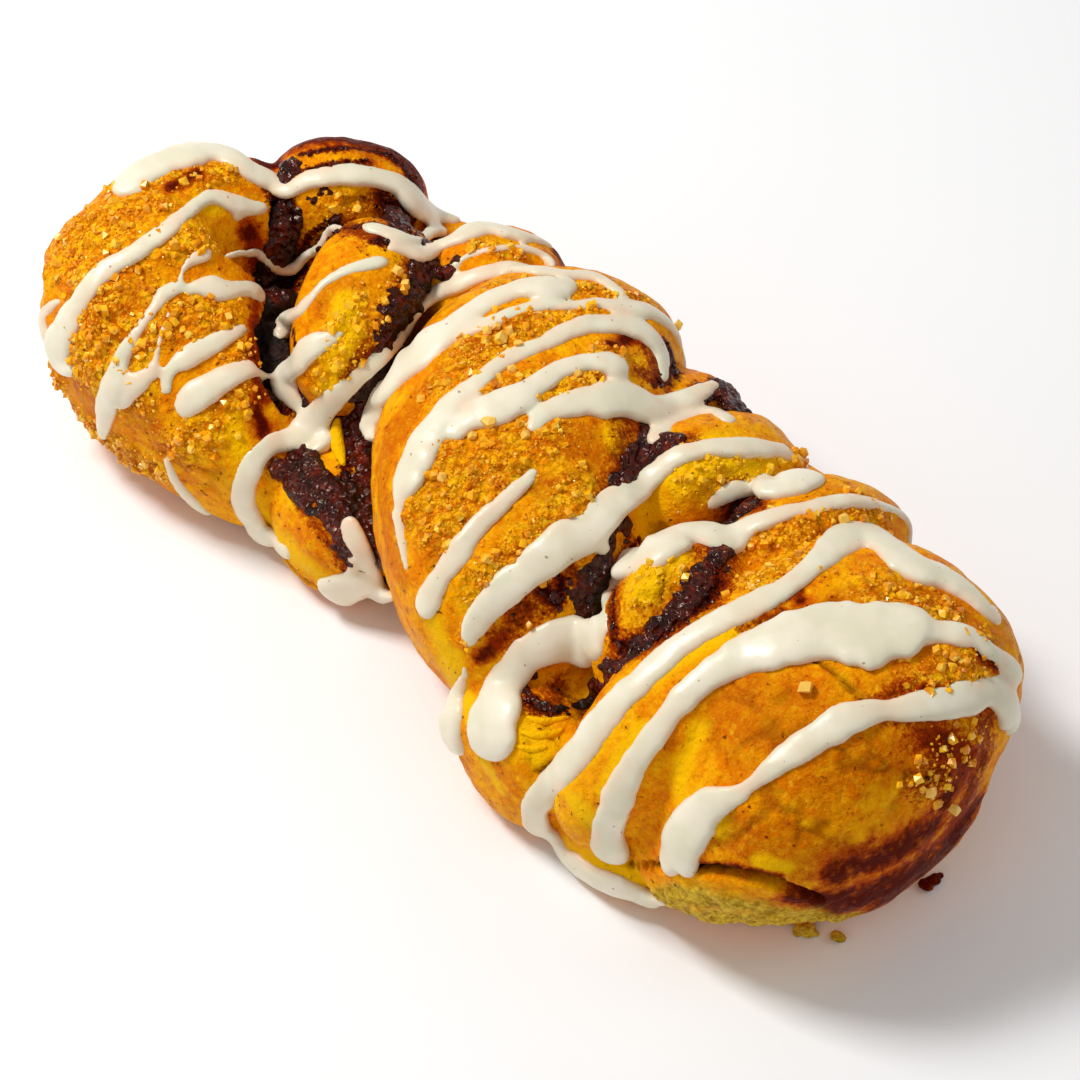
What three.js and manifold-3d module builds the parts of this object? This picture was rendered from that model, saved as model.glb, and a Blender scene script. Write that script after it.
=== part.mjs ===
// Iced cinnamon twist: a long twisted pastry of soft dough folds, with cinnamon filling in the
// seams between the folds, drizzled icing and coarse sugar on top. Millimetres, +Z up. It lies
// on its flat base along X, with the higher, rounder end at +X and the seams slanted across it.
import * as THREE from 'three';
import { mergeVertices } from 'three/addons/utils/BufferGeometryUtils.js';
import Module from 'manifold-3d';

// ---- driving dimensions, mm and degrees ----
const length = 165;                      // end to end, sets the scale of the whole twist
const heart = { y: -3, z: 8 };           // line along the twist that surface angles turn about
const shift = { x: 0.97, y: 1.4 };       // brings the middle of the box over the origin
const foldRoundness = 2.5;               // exponent of a fold's section, 2 is an ellipse
const footRoundness = 3.6;               // the same below the middle of a fold that stands
const foldTaper = 3;                     // how late a fold closes towards its ends
const footTaper = 0.4;                   // the base of a standing fold closes later still
const baseSink = 1;                      // depth below the floor that a standing fold is cut from
const cragHeight = 0.55;                 // unevenness of the crust
const cragLength = 11;                   // distance between crags
const fillingGap = 0.35;                 // clearance between the filling and the dough
const fillingDepth = 10;                 // how far the filling reaches in below the seam
const icingHeight = 0.46;                // height of a drizzle over its width
const icingHighest = 2.3;                // most that a drizzle stands up
const icingRoot = 1.2;                   // how deep a drizzle is set into the dough
const sugarSize = 2.2;                   // length of a coarse sugar crystal
const sugarCount = 44;                   // crystals that are large enough to be part of the solid
const sugarReach = { x: 76, near: -62, far: 50 };  // ends of the sugared crust, and its angles
const sugarTries = 8;                    // places tried for each crystal, to spread them
const sugarProud = 0.12;                 // share of its size that a crystal's middle stands proud
const crumbSize = 5.5;                   // lumps of the torn foot at the near end
const crumbCount = 9;
const flake = { thick: 3, wide: 6, apart: 4.2, stepBack: 2.6 };  // opened layers of the lower side
const reach = 120;                       // start of the rays that find the surface
const seamEdge = 0.5;                    // shortest edge where folds, icing and sugar meet
const leastEdge = 0.1;                   // shortest edge round the filling
const sliverShare = 0.05;                // faces under this many square edges may turn freely
const leastTurn = 0.2;                   // cosine of the most that any other face may turn
const drawBack = 0.05;                   // share of the way in that a touching point is drawn

// Folds of dough: points along the middle of each fold, and its half width and half height there.
// A fold with a foot stands on the floor, the others lie between them.
const scale = length / 165;
const folds = {
  endBand: { path: [[52, -35, 9], [59, -17, 20], [62, 5, 22], [63, 20, 15]], w: [15, 20, 20, 14],
    h: [9, 19, 19, 14], foot: true, fine: true },
  endFold: { path: [[39, -37, 10], [46, -20, 20], [51, 2, 23], [56, 24, 16]], w: [9, 11, 11, 10],
    h: [10, 17, 18, 14], foot: true },
  isleKnob: { path: [[15, 7, 26], [11, 19, 24], [9, 29, 19]], w: [6, 7, 6], h: [8, 8, 7] },
  isleMid: { path: [[20, -1, 25], [22, 13, 25], [25, 25, 14]], w: [8, 10, 9],
    h: [12, 13, 13], foot: true },
  isleSide: { path: [[38, -5, 26], [40, 11, 25], [43, 28, 14]], w: [7, 9, 8],
    h: [11, 13, 13], foot: true },
  isleFront: { path: [[34, -22, 18], [36, -10, 25], [37, 2, 23]], w: [6, 9, 8], h: [9, 13, 12] },
  middle: { path: [[24, -28, 11], [10, -14, 21], [-5, 6, 24], [-10, 32, 22]], w: [12, 19, 22, 20],
    h: [11, 18, 18, 17], foot: true, fine: true },
  middleBack: { path: [[-30, 9, 24], [-28, 20, 21], [-25, 31, 14]], w: [8, 10, 10],
    h: [12, 14, 12], foot: true },
  farIsle: { path: [[-43, 19, 24], [-38, 4, 25], [-31, -11, 20]], w: [9, 9, 7], h: [12, 14, 12] },
  farBack: { path: [[-60, 14, 20], [-55, 20, 21], [-48, 27, 14]], w: [8, 9, 10],
    h: [13, 15, 13], foot: true },
  farRear: { path: [[-62, 13, 10], [-42, 24, 11], [-20, 27, 12]], w: [12, 12, 11], h: [10, 12, 12],
    foot: true },
  nearRear: { path: [[6, 24, 10], [30, 24, 10], [56, 19, 10]], w: [9, 11, 10], h: [9, 10, 9],
    foot: true },
  farBand: { path: [[-59, 16, 23], [-70, 2, 22], [-64, -12, 20], [-44, -18, 15], [-27, -19, 10]],
    w: [10, 13, 16, 12, 8], h: [16, 17, 18, 13, 9], foot: true, fine: true },
  lowerFold: { path: [[-34, -16, 9], [-22, -18, 10], [-10, -16, 8]], w: [8, 9, 7], h: [9, 10, 8],
    foot: true },
  lowerSide: { path: [[22, -29, 9], [30, -30, 11], [38, -31, 9]], w: [8, 8, 8], h: [9, 11, 9],
    foot: true },
  core: { path: [[-66, 3, 11], [-28, 8, 12], [32, -1, 12], [63, -4, 11]], w: [17, 22, 27, 21],
    h: [12, 13, 12, 12], foot: true, fine: true },
};

// Seams where the filling shows: x, angle from straight up about the heart line (towards +Y),
// width, and how far the filling stands above the dough.
const seams = {
  farGap: [[-62, 32, 6, 1], [-57, 26, 8, 1.6], [-51, 2, 9, 1.8], [-43, -22, 8, 1.6],
    [-24, -37, 7, 1.2]],
  farTop: [[-60, 24, 6, 1.2], [-49, 36, 6, 1.4], [-32, 40, 6, 1.2]],
  middleFar: [[-37, 42, 6, 1.2], [-32, 27, 7, 1.8], [-28, 2, 7, 2], [-26, -26, 8, 1.8],
    [-17, -53, 8, 1.4], [-9, -74, 5, 1]],
  lowerTop: [[-33, -50, 6, 1], [-25, -58, 8, 1.2], [-16, -56, 7, 1]],
  middleNear: [[12, 50, 5, 1], [15, 20, 7, 1.8], [20, -6, 6, 1.8], [24, -24, 8, 1.6],
    [26, -62, 8, 1.2]],
  isleGap: [[31, 22, 5, 1.6], [37, -2, 5, 1.6], [38, -28, 6, 1.6], [33, -51, 8, 1.4], [25, -64, 7, 1]],
};
// The same layer passes under the middle fold and joins the seams on both sides of it.
const fillingLink = { path: [[-31, -4, 21], [-4, -2, 14], [24, -8, 29]], w: [3, 3, 3], h: [6, 6, 6] };

// Drizzles: x, angle and width at the points that give each one its sweep.
const drizzles = [
  [[-79, -12, 5], [-72, 10, 4.5], [-65, 33, 3.5], [-53, 43, 3.2], [-40, 51, 3.2]],
  [[-61, 26, 2.4], [-66, 8, 2.8], [-65, -28, 3], [-68, -60, 4.2]],
  [[-58, -8, 2.4], [-57, -36, 2.8], [-56, -72, 3.4]],
  [[-57, -24, 2.2], [-56, -18, 2.8], [-51, -12, 2.2]],
  [[-48, -18, 2.2], [-50, -40, 3.2], [-47, -52, 2.2]],
  [[-43, -24, 2.6], [-46, -46, 3.6], [-45, -56, 2.2]],
  [[-37, 20, 2.2], [-40, 1, 2.8], [-45, -9, 2.2]],
  [[-26, 9, 3], [-29, -20, 4.4], [-31, -42, 5.6], [-36, -58, 3.8], [-31, -80, 2.4], [-25, -89, 2]],
  [[-29, 31, 2.8], [-25, 40, 3.4], [-19, 51, 2.6], [-11, 64, 2.4]],
  [[-20, -24, 4.6], [-21, -2, 4.2], [-19.5, 22, 3.2], [-19, 46, 2.6]],
  [[-17, 8, 2], [-12, 34, 2.2], [-5, 53, 2.2], [6, 70, 2.6]],
  [[1, -56, 1.8], [-5, -38, 2.6], [-5, -6, 4], [-4, 16, 3], [-1, 42, 3]],
  [[-3, -24, 3.6], [-1, 4, 3], [4, 21, 3], [10, 24, 3.6]],
  [[4, -3, 3.6], [6, 10, 4.2], [13, 28, 3.6], [12, 50, 2.4]],
  [[17, 16, 2], [17, 29, 2.4], [22, 39, 2]],
  [[14, -60, 4], [15, -38, 4.4], [19, -6, 4.4], [21, 22, 3], [28, 46, 2.4], [33, 66, 2.8]],
  [[8, -10, 1.6], [7, -34, 3], [7, -62, 3]],
  [[28, 14, 2.4], [31, 29, 3.2], [38, 42, 3], [42, 60, 2.6]],
  [[29, -27, 2.6], [30, -6, 3.8], [36, 18, 2.8], [44, 46, 2.2]],
  [[19, -88, 5], [20, -64, 5], [27, -44, 5.4], [33, -36, 4]],
  [[34, -84, 3.6], [38, -62, 3.2], [41, -36, 3], [48, -4, 3.2], [50, 27, 3.6], [60, 35, 2.8],
    [72, 38, 2]],
  [[46, -84, 4.2], [47, -54, 3.6], [54, -19, 4.8], [63, 2, 6], [69, 15, 3], [79, 20, 3]],
  [[58, -74, 4.8], [59, -54, 4.2], [64, -34, 2.8], [71, -13, 3.4], [77, 2, 4.6], [81, 14, 4]],
  [[-32, -5, 2], [-36, -13, 2.4], [-39, -21, 3.5], [-40.5, -28, 3]],
  [[14, -64, 1.8], [15, -78, 2.2], [16, -86, 2.4]],
  [[37, -88, 2.2], [42, -89, 2.8], [48, -88, 3], [53, -86, 2.2]],
];

const wasm = await Module();
wasm.setup();

const lerp = THREE.MathUtils.lerp;
const radians = THREE.MathUtils.degToRad;
const curveOf = (points) => new THREE.CatmullRomCurve3(
  points.map((p) => new THREE.Vector3(...p).multiplyScalar(scale)), false, 'catmullrom', 0.5);

// Random numbers that come out the same each time.
let seed = 7;
function random() {
  seed = (seed * 16807) % 2147483647;
  return seed / 2147483647;
}

// Closed skin over rings of points, with a point at each end.
function skin(start, rings, end) {
  const sides = rings[0].length;
  const at = (ring, side) => 1 + ring * sides + (side % sides);
  const points = [start, ...rings.flat(), end];
  const index = [];
  for (let side = 0; side < sides; side++) {
    index.push(0, at(0, side), at(0, side + 1));
    for (let ring = 0; ring < rings.length - 1; ring++) {
      index.push(at(ring, side), at(ring + 1, side), at(ring + 1, side + 1));
      index.push(at(ring, side), at(ring + 1, side + 1), at(ring, side + 1));
    }
    index.push(at(rings.length - 1, side), points.length - 1, at(rings.length - 1, side + 1));
  }
  const geometry = new THREE.BufferGeometry().setFromPoints(points);
  geometry.setIndex(index);
  return geometry;
}

function solidOf(geometry) {
  const bare = geometry.clone();
  bare.deleteAttribute('normal');
  bare.deleteAttribute('uv');
  const merged = mergeVertices(bare);
  return new wasm.Manifold(new wasm.Mesh({
    numProp: 3,
    vertProperties: new Float32Array(merged.attributes.position.array),
    triVerts: new Uint32Array(merged.index.array),
  }));
}

function geometryOf(solid) {
  const mesh = solid.getMesh();
  const geometry = new THREE.BufferGeometry();
  geometry.setAttribute('position', new THREE.BufferAttribute(new Float32Array(mesh.vertProperties), 3));
  geometry.setIndex(new THREE.BufferAttribute(new Uint32Array(mesh.triVerts), 1));
  geometry.computeVertexNormals();
  return geometry;
}

const join = (solids) => solids.reduce((all, solid) => all.add(solid));

// Merges the two ends of each edge that a join left shorter than `least`. The surface stays
// closed: an edge is kept where merging it would pinch the surface or turn a face over.
function closeShortEdges(solid, least) {
  const geometry = geometryOf(solid);
  const position = geometry.attributes.position;
  const points = Array.from({ length: position.count }, (_, i) => (
    new THREE.Vector3().fromBufferAttribute(position, i)));
  const corners = Array.from(geometry.index.array);
  const faces = Array.from({ length: corners.length / 3 }, (_, i) => corners.slice(3 * i, 3 * i + 3));
  const around = points.map(() => new Set());
  faces.forEach((face, i) => face.forEach((corner) => around[corner].add(i)));
  const nextTo = (corner) => new Set([...around[corner]].flatMap((i) => faces[i]));
  const triangle = (face) => new THREE.Triangle(...face.map((corner) => points[corner]));
  const normalOf = (face) => triangle(face).getNormal(new THREE.Vector3());
  const isSliver = (face) => triangle(face).getArea() < least * least * sliverShare;
  const moved = (face, from, to) => face.map((corner) => (corner === from ? to : corner));

  function merge(keep, drop) {
    const between = [...around[drop]].filter((i) => faces[i].includes(keep)).flatMap((i) => faces[i]);
    const shared = [...nextTo(keep)].filter((corner) => nextTo(drop).has(corner));
    if (shared.length !== 4 || new Set(between).size !== 4) return false;
    const rest = [...around[drop]].filter((i) => !faces[i].includes(keep));
    const turns = rest.some((i) => !isSliver(faces[i])
      && normalOf(faces[i]).dot(normalOf(moved(faces[i], drop, keep))) < leastTurn);
    if (turns) return false;
    for (const i of [...around[drop]]) {
      if (rest.includes(i)) {
        faces[i] = moved(faces[i], drop, keep);
        around[keep].add(i);
      } else {
        faces[i].forEach((corner) => around[corner].delete(i));
        faces[i] = null;
      }
    }
    around[drop].clear();
    return true;
  }

  let merged = true;
  while (merged) {
    merged = false;
    for (let i = 0; i < faces.length; i++) {
      for (let k = 0; k < 3 && faces[i]; k++) {
        const [a, b] = [faces[i][k], faces[i][(k + 1) % 3]];
        if (points[a].distanceTo(points[b]) < least && (merge(a, b) || merge(b, a))) merged = true;
      }
    }
  }
  // Where two stretches of the surface touch at a point, one of them is drawn back a little.
  const taken = new Set();
  points.forEach((point, corner) => {
    if (!around[corner].size) return;
    const place = point.toArray().map((value) => value.toFixed(2)).join();
    if (taken.has(place)) {
      const near = [...nextTo(corner)].map((other) => points[other]);
      const middle = near.reduce((sum, other) => sum.add(other), new THREE.Vector3());
      point.lerp(middle.divideScalar(near.length), drawBack);
    }
    taken.add(place);
  });
  const used = new THREE.BufferGeometry().setFromPoints(points);
  used.setIndex(faces.filter(Boolean).flat());
  return solidOf(used);
}

// The outer shell alone: loose scraps are dropped and sealed hollows filled.
function largest(solid) {
  return solid.decompose().sort((a, b) => b.volume() - a.volume())[0];
}

// Uneven crust: a few waves in different directions.
function crag(p) {
  const k = (2 * Math.PI) / (cragLength * scale);
  const waves = Math.sin(k * (p.x + 0.5 * p.y)) + Math.sin(k * (0.8 * p.y - p.z) + 1.3)
    + Math.sin(1.9 * k * (p.x - 0.7 * p.z) + 2.1);
  return (cragHeight * scale * waves) / 3;
}

// One fold: a superellipse section carried along the path, round at both ends.
function fold({ path, w, h, foot = false, fine = false, thin = false }) {
  const stations = thin ? 6 : fine ? 13 : 9;
  const sides = thin ? 6 : fine ? 18 : 12;
  const middle = curveOf(path);
  const sizes = curveOf(w.map((width, i) => [width, h[i], 0]));
  const up = new THREE.Vector3(0, 0, 1);
  const rings = [];
  for (let i = 1; i < stations; i++) {
    const t = (1 - Math.cos((Math.PI * i) / stations)) / 2;
    const centre = middle.getPoint(t);
    const size = sizes.getPoint(t);
    const close = Math.sqrt(1 - Math.abs(2 * t - 1) ** foldTaper);
    const ahead = middle.getTangent(t);
    const aside = new THREE.Vector3().crossVectors(ahead, up).normalize();
    const above = new THREE.Vector3().crossVectors(aside, ahead);
    const standing = Math.max(size.y, centre.z + baseSink * scale) * close ** footTaper;
    const below = foot ? standing : size.y * close;
    rings.push(Array.from({ length: sides }, (_, side) => {
      const a = (2 * Math.PI * side) / sides;
      const roundness = foot && Math.sin(a) < 0 ? footRoundness : foldRoundness;
      const across = Math.sign(Math.cos(a)) * Math.abs(Math.cos(a)) ** (2 / roundness);
      const high = Math.sign(Math.sin(a)) * Math.abs(Math.sin(a)) ** (2 / roundness);
      const point = centre.clone()
        .addScaledVector(aside, across * size.x * close)
        .addScaledVector(above, high * (high < 0 ? below : size.y * close));
      const out = point.clone().sub(centre).normalize();
      return point.addScaledVector(out, crag(point));
    }));
  }
  return solidOf(skin(middle.getPoint(0), rings, middle.getPoint(1)));
}

// Finds the surface of a mesh from outside, at a place along the twist and an angle about its heart.
function surfaceFinder(solid) {
  const target = new THREE.Mesh(geometryOf(solid), new THREE.MeshBasicMaterial());
  const ray = new THREE.Raycaster();
  return (x, angle) => {
    const out = new THREE.Vector3(0, Math.sin(radians(angle)), Math.cos(radians(angle)));
    const middle = new THREE.Vector3(x, heart.y * scale, heart.z * scale);
    ray.set(middle.addScaledVector(out, reach * scale), out.clone().negate());
    const hit = ray.intersectObject(target)[0];
    return { point: hit.point, out };
  };
}

// A band laid along the surface: `rise` above it and `root` into it, with a rounded section.
function band(find, points, { rise, root, sides, step }) {
  const line = curveOf(points);
  const span = line.getLength();
  const count = Math.max(5, Math.round(span / (step * scale)));
  const places = Array.from({ length: count + 1 }, (_, i) => {
    const [x, angle, width] = line.getPoint(i / count).toArray();
    return { ...find(x, angle / scale), width };
  });
  const smooth = places.map(({ point }, i) => {
    const before = places[Math.max(i - 1, 0)].point;
    const after = places[Math.min(i + 1, count)].point;
    return point.clone().multiplyScalar(2).add(before).add(after).divideScalar(4);
  });
  const rings = smooth.slice(1, -1).map((centre, j) => {
    const i = j + 1;
    const { out, width } = places[i];
    const ahead = smooth[i + 1].clone().sub(smooth[i - 1]).normalize();
    const aside = new THREE.Vector3().crossVectors(ahead, out).normalize();
    const above = new THREE.Vector3().crossVectors(aside, ahead);
    return Array.from({ length: sides }, (_, side) => {
      const a = (2 * Math.PI * (side + 0.5)) / sides;
      const high = Math.sin(a) > 0 ? rise(i / count, width) : root;
      return centre.clone()
        .addScaledVector(aside, (Math.cos(a) * width) / 2)
        .addScaledVector(above, Math.sin(a) * high);
    });
  });
  return solidOf(skin(smooth[0], rings, smooth[count]));
}

// The filling, and the same shape grown by the gap that it is cut out of the dough with.
function filling(find, grow) {
  const ribbons = Object.values(seams).map((points) => {
    const stands = curveOf(points.map((p) => [p[3], 0, 0]));
    return band(find, points.map(([x, angle, width]) => [x, angle, width + 2 * grow]), {
      rise: (t) => stands.getPoint(t).x + grow * scale,
      root: (fillingDepth + grow) * scale,
      sides: 8,
      step: 9,
    });
  });
  const larger = (sizes) => sizes.map((size) => size + grow);
  const { path, w, h } = fillingLink;
  return join([...ribbons, fold({ path, w: larger(w), h: larger(h), thin: true })]);
}

function drizzle(find, points) {
  return band(find, points, {
    rise: (t, width) => Math.min(icingHeight * width, icingHighest * scale),
    root: icingRoot * scale,
    sides: 6,
    step: 10,
  });
}

// A coarse sugar crystal, pressed into the crust at a random turn.
function crystal({ point, out }) {
  const size = sugarSize * scale * lerp(0.8, 1.25, random());
  const block = new THREE.BoxGeometry(size, size * 0.8, size * 0.7);
  const turn = new THREE.Euler(random() * 3, random() * 3, random() * 3);
  const place = point.clone().addScaledVector(out, sugarProud * size);
  block.applyMatrix4(new THREE.Matrix4().makeRotationFromEuler(turn).setPosition(place));
  return solidOf(block);
}

// Crystals are spread evenly: each new one is the best of several tries, furthest from the rest,
// and none lies near the filling.
function sugar(find, findFilling) {
  const places = [];
  while (places.length < sugarCount) {
    let best = null;
    for (let attempt = 0; attempt < sugarTries; attempt++) {
      const x = lerp(-sugarReach.x, sugarReach.x, random()) * scale;
      const angle = lerp(sugarReach.near, sugarReach.far, random());
      const place = find(x, angle);
      const nearFilling = findFilling(x, angle).point.distanceTo(place.point) > 0.05;
      const clear = Math.min(99, ...places.map((other) => other.point.distanceTo(place.point)));
      if (!nearFilling && (!best || clear > best.clear)) best = { ...place, clear };
    }
    if (best) places.push(best);
  }
  return places.map(crystal);
}

// The torn foot at the near end: a row of crumb lumps round the base.
function tornFoot() {
  const line = curveOf([[49, -30, 1.5], [58, -28.5, 1.5], [69, -22, 1.5], [75, -13, 1.5]]);
  return Array.from({ length: crumbCount }, (_, i) => {
    const lump = new THREE.IcosahedronGeometry((crumbSize / 2) * scale * lerp(0.8, 1.25, random()), 0);
    lump.scale(lerp(1, 1.5, random()), 1, 0.8);
    const place = line.getPoint(i / (crumbCount - 1));
    lump.rotateZ(random() * 3).translate(place.x, place.y, place.z);
    return solidOf(lump);
  });
}

// Layers that have opened in the lower side of the dough: thin ridges, one above the other.
function flakes() {
  const half = [0.8, 1, 0.8];
  return [0, 1, 2].map((layer) => {
    const z = 8 + flake.apart * layer;
    const y = -36.5 + flake.stepBack * layer;
    const path = [[20 - layer, y + 1, z], [28, y, z + 1], [36 + layer, y, z]];
    const w = half.map((share) => (share * flake.wide) / 2);
    return fold({ path, w, h: half.map((share) => (share * flake.thick) / 2), thin: true });
  });
}

function aboveFloor() {
  const room = new THREE.BoxGeometry(2 * reach, 2 * reach, reach).scale(scale, scale, scale);
  room.translate(0, 0, (reach / 2) * scale);
  return solidOf(room);
}

function meshOf(name, solid, colour, roughness) {
  const geometry = geometryOf(solid);
  geometry.translate(shift.x * scale, shift.y * scale, 0);
  const mesh = new THREE.Mesh(geometry, new THREE.MeshStandardMaterial({ color: colour, roughness }));
  mesh.name = name;
  return mesh;
}

const bareDough = closeShortEdges(join([...Object.values(folds).map(fold), ...flakes(), ...tornFoot()]),
  seamEdge);
const findDough = surfaceFinder(bareDough);
const cinnamon = closeShortEdges(largest(filling(findDough, 0).intersect(aboveFloor())), leastEdge);
const room = filling(findDough, fillingGap);
const findTop = surfaceFinder(bareDough.add(room));
const icing = drizzles.map((points) => drizzle(findTop, points));
const topped = closeShortEdges(join([bareDough, ...icing, ...sugar(findDough, findTop)]), seamEdge);
const cut = topped.subtract(room).intersect(aboveFloor());
const dough = closeShortEdges(largest(cut), leastEdge);

const twist = new THREE.Group();
twist.add(meshOf('dough', dough, 0xc98424, 0.55));
twist.add(meshOf('cinnamon_filling', cinnamon, 0x3a120a, 0.3));

export default twist;
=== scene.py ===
# Iced cinnamon twist: the baked dough, the cinnamon filling in its seams, drizzled icing, coarse
# sugar and a few crumbs. Lengths are in millimetres and places on the photo in its 1080 pixels.
import itertools
import math

import bmesh
import bpy
import numpy as np
from mathutils import Euler, Matrix, Vector
from mathutils.bvhtree import BVHTree


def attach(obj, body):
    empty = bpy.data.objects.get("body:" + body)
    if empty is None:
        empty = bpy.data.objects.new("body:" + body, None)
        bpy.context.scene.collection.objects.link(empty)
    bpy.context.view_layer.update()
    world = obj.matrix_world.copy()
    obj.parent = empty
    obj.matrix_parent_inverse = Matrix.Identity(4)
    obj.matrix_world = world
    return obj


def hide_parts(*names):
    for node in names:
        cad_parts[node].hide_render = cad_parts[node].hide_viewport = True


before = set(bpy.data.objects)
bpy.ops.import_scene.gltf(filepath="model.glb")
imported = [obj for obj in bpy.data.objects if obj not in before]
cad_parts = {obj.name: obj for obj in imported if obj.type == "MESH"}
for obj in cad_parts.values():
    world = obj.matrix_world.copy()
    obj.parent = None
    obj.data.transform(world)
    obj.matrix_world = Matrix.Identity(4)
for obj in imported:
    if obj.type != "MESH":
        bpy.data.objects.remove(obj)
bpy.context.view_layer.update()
mm = 0.001
shift = np.array([0.97, 1.4, 0])     # the folds' own middle to the middle of the footprint
heart = {"y": -3, "z": 8, "far": 90}     # line along the twist that surface angles turn about


# camera, which also says where a place on the photo lies on the pastry
camera = {
    "turn": 42,                      # degrees from looking along +Y
    "tilt": 50,                      # degrees above the floor
    "distance": 500,
    "target": (2.97, -3.6, 20),
    "focal": 3480,                   # focal length in photo pixels
    "middle": (520, 515),            # pixel that the lens axis meets
    "photo": 1080,
    "sensor": 36,
    "inwards": ((150, 290), (870, 760)),     # line through the pastry that stray places are drawn to
    "nudge": (60, 2),                # how far they are drawn at most, and the step, in pixels
}
turn, tilt = math.radians(camera["turn"]), math.radians(camera["tilt"])
back = np.array([math.sin(turn) * math.cos(tilt), -math.cos(turn) * math.cos(tilt), math.sin(tilt)])
right = np.array([math.cos(turn), math.sin(turn), 0])
above = np.cross(back, right)
eye = np.array(camera["target"]) + back * camera["distance"]


def spanOf(pixels):                  # mm that they cover at the pastry
    return pixels * camera["distance"] / camera["focal"]


def rayThrough(x, y):                # from the eye through a place on the photo
    return (right * (x - camera["middle"][0]) - above * (y - camera["middle"][1])) / camera["focal"] - back


def inScene(name, data):
    holder = bpy.data.objects.new(name, data)
    bpy.context.scene.collection.objects.link(holder)
    return holder


def makeCamera():
    lens = bpy.data.cameras.new("camera")
    lens.sensor_width = camera["sensor"]
    lens.lens = camera["sensor"] * camera["focal"] / camera["photo"]
    half = camera["photo"] / 2
    lens.shift_x = -(camera["middle"][0] - half) / camera["photo"]
    lens.shift_y = (camera["middle"][1] - half) / camera["photo"]
    holder = inScene("camera", lens)
    holder.location = eye * mm
    holder.rotation_mode = "QUATERNION"
    holder.rotation_quaternion = Vector(-back).to_track_quat("-Z", "Y")
    bpy.context.scene.camera = holder


makeCamera()
print("camera placed")


# curves, noise and surfaces
def curveThrough(points, share):     # Catmull-Rom, with the end points mirrored
    points = np.array(points, float)
    last = len(points) - 1
    place = np.clip(share, 0, 1) * last
    i = np.minimum(place.astype(int), last - 1)
    t = (place - i)[:, None]
    held = np.vstack([2 * points[0] - points[1], points, 2 * points[-1] - points[-2]])
    a, b, c, d = held[i], held[i + 1], held[i + 2], held[i + 3]
    cubic = (3 * b - a - 3 * c + d) * t ** 3
    return 0.5 * (2 * b + (c - a) * t + (2 * a - 5 * b + 4 * c - d) * t ** 2 + cubic)


def evenly(points, step, across=2):  # places one step apart, measured in the first columns
    fine = curveThrough(points, np.linspace(0, 1, 30 * len(points)))
    apart = np.linalg.norm(np.diff(fine[:, :across], axis=0), axis=1)
    run = np.concatenate([[0], np.cumsum(apart)])
    places = np.linspace(0, run[-1], max(3, round(run[-1] / step) + 1))
    return np.stack([np.interp(places, run, column) for column in fine.T], axis=1)


def unit(vectors):
    return vectors / np.maximum(np.linalg.norm(vectors, axis=-1, keepdims=True), 1e-9)


def eased(values, times):            # each value drawn to its neighbours' mean, over and over
    values = np.array(values, float)
    for _ in range(times):
        values[1:-1] = values[1:-1] / 2 + (values[:-2] + values[2:]) / 4
    return values


hashPrimes = np.array([73856093, 19349663, 83492791])
hashFactor = 1274126177


def scrambled(key):                  # the next whole number in a fixed, random-looking order
    return (key ^ (key >> 13)) * hashFactor & 0xFFFFFFFF


def noiseAt(points, size, seed=0):   # smooth random values from -1 to 1
    cell = points / size + seed * 7.31
    low = np.floor(cell).astype(np.int64)
    part = cell - low
    part = part * part * (3 - 2 * part)
    total = np.zeros(len(points))
    for corner in itertools.product((0, 1), repeat=3):
        key = scrambled((low + corner) @ hashPrimes)
        value = ((key ^ (key >> 15)) & 0xFFFF) / 32768 - 1
        total += value * np.prod(np.where(corner, part, 1 - part), axis=1)
    return total


def roughNoise(points, size, layers=3, seed=0):
    return sum(noiseAt(points, size / 2 ** k, seed + k) / 2 ** k for k in range(layers)) / 1.6


def grainsAt(points, size, seed=0):  # 0 in the middle of a grain, about 1 between grains
    cell = points / size + seed * 3.17
    low = np.floor(cell).astype(np.int64)
    nearest = np.full(len(points), 9.0)
    for step in itertools.product((-1, 0, 1), repeat=3):
        home = low + step
        key = home @ hashPrimes
        spot = np.empty_like(cell)
        for axis in range(3):
            key = scrambled(key)
            spot[:, axis] = ((key ^ (key >> 15)) & 0xFFFF) / 65536
        nearest = np.minimum(nearest, np.linalg.norm(home + spot - cell, axis=1))
    return nearest


def smoothStep(low, high, values):
    t = np.clip((values - low) / (high - low), 0, 1)
    return t * t * (3 - 2 * t)


class Skin:                          # finds places on a surface
    def __init__(self, points, faces):
        self.tree = BVHTree.FromPolygons(points.tolist(), faces.tolist())

    def fromPhoto(self, x, y):
        return self.tree.ray_cast(Vector(eye), Vector(unit(rayThrough(x, y))))[:2]

    def nearPhoto(self, x, y):       # a place just outside the outline is drawn inwards
        start, end = np.array(camera["inwards"])
        along = unit(end - start)
        place = np.array([x, y], float)
        inward = unit(start + along * ((place - start) @ along) - place)
        for nudge in range(0, *camera["nudge"]):
            spot, normal = self.fromPhoto(*(place + inward * nudge))
            if spot is not None:
                return np.array(spot), np.array(normal)
        return None, None

    def fromHeart(self, x, angle):   # x in mm, degrees from straight up towards +Y
        out = np.array([0, math.sin(math.radians(angle)), math.cos(math.radians(angle))])
        middle = np.array([x, heart["y"], heart["z"]]) + shift
        spot, normal = self.tree.ray_cast(Vector(middle + out * heart["far"]), Vector(-out))[:2]
        return np.array(spot), np.array(normal)


# meshes
def objectOf(name, points, faces):
    mesh = bpy.data.meshes.new(name)
    mesh.from_pydata((points * mm).tolist(), [], faces if isinstance(faces, list) else faces.tolist())
    mesh.shade_smooth()
    return inScene(name, mesh)


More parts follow.
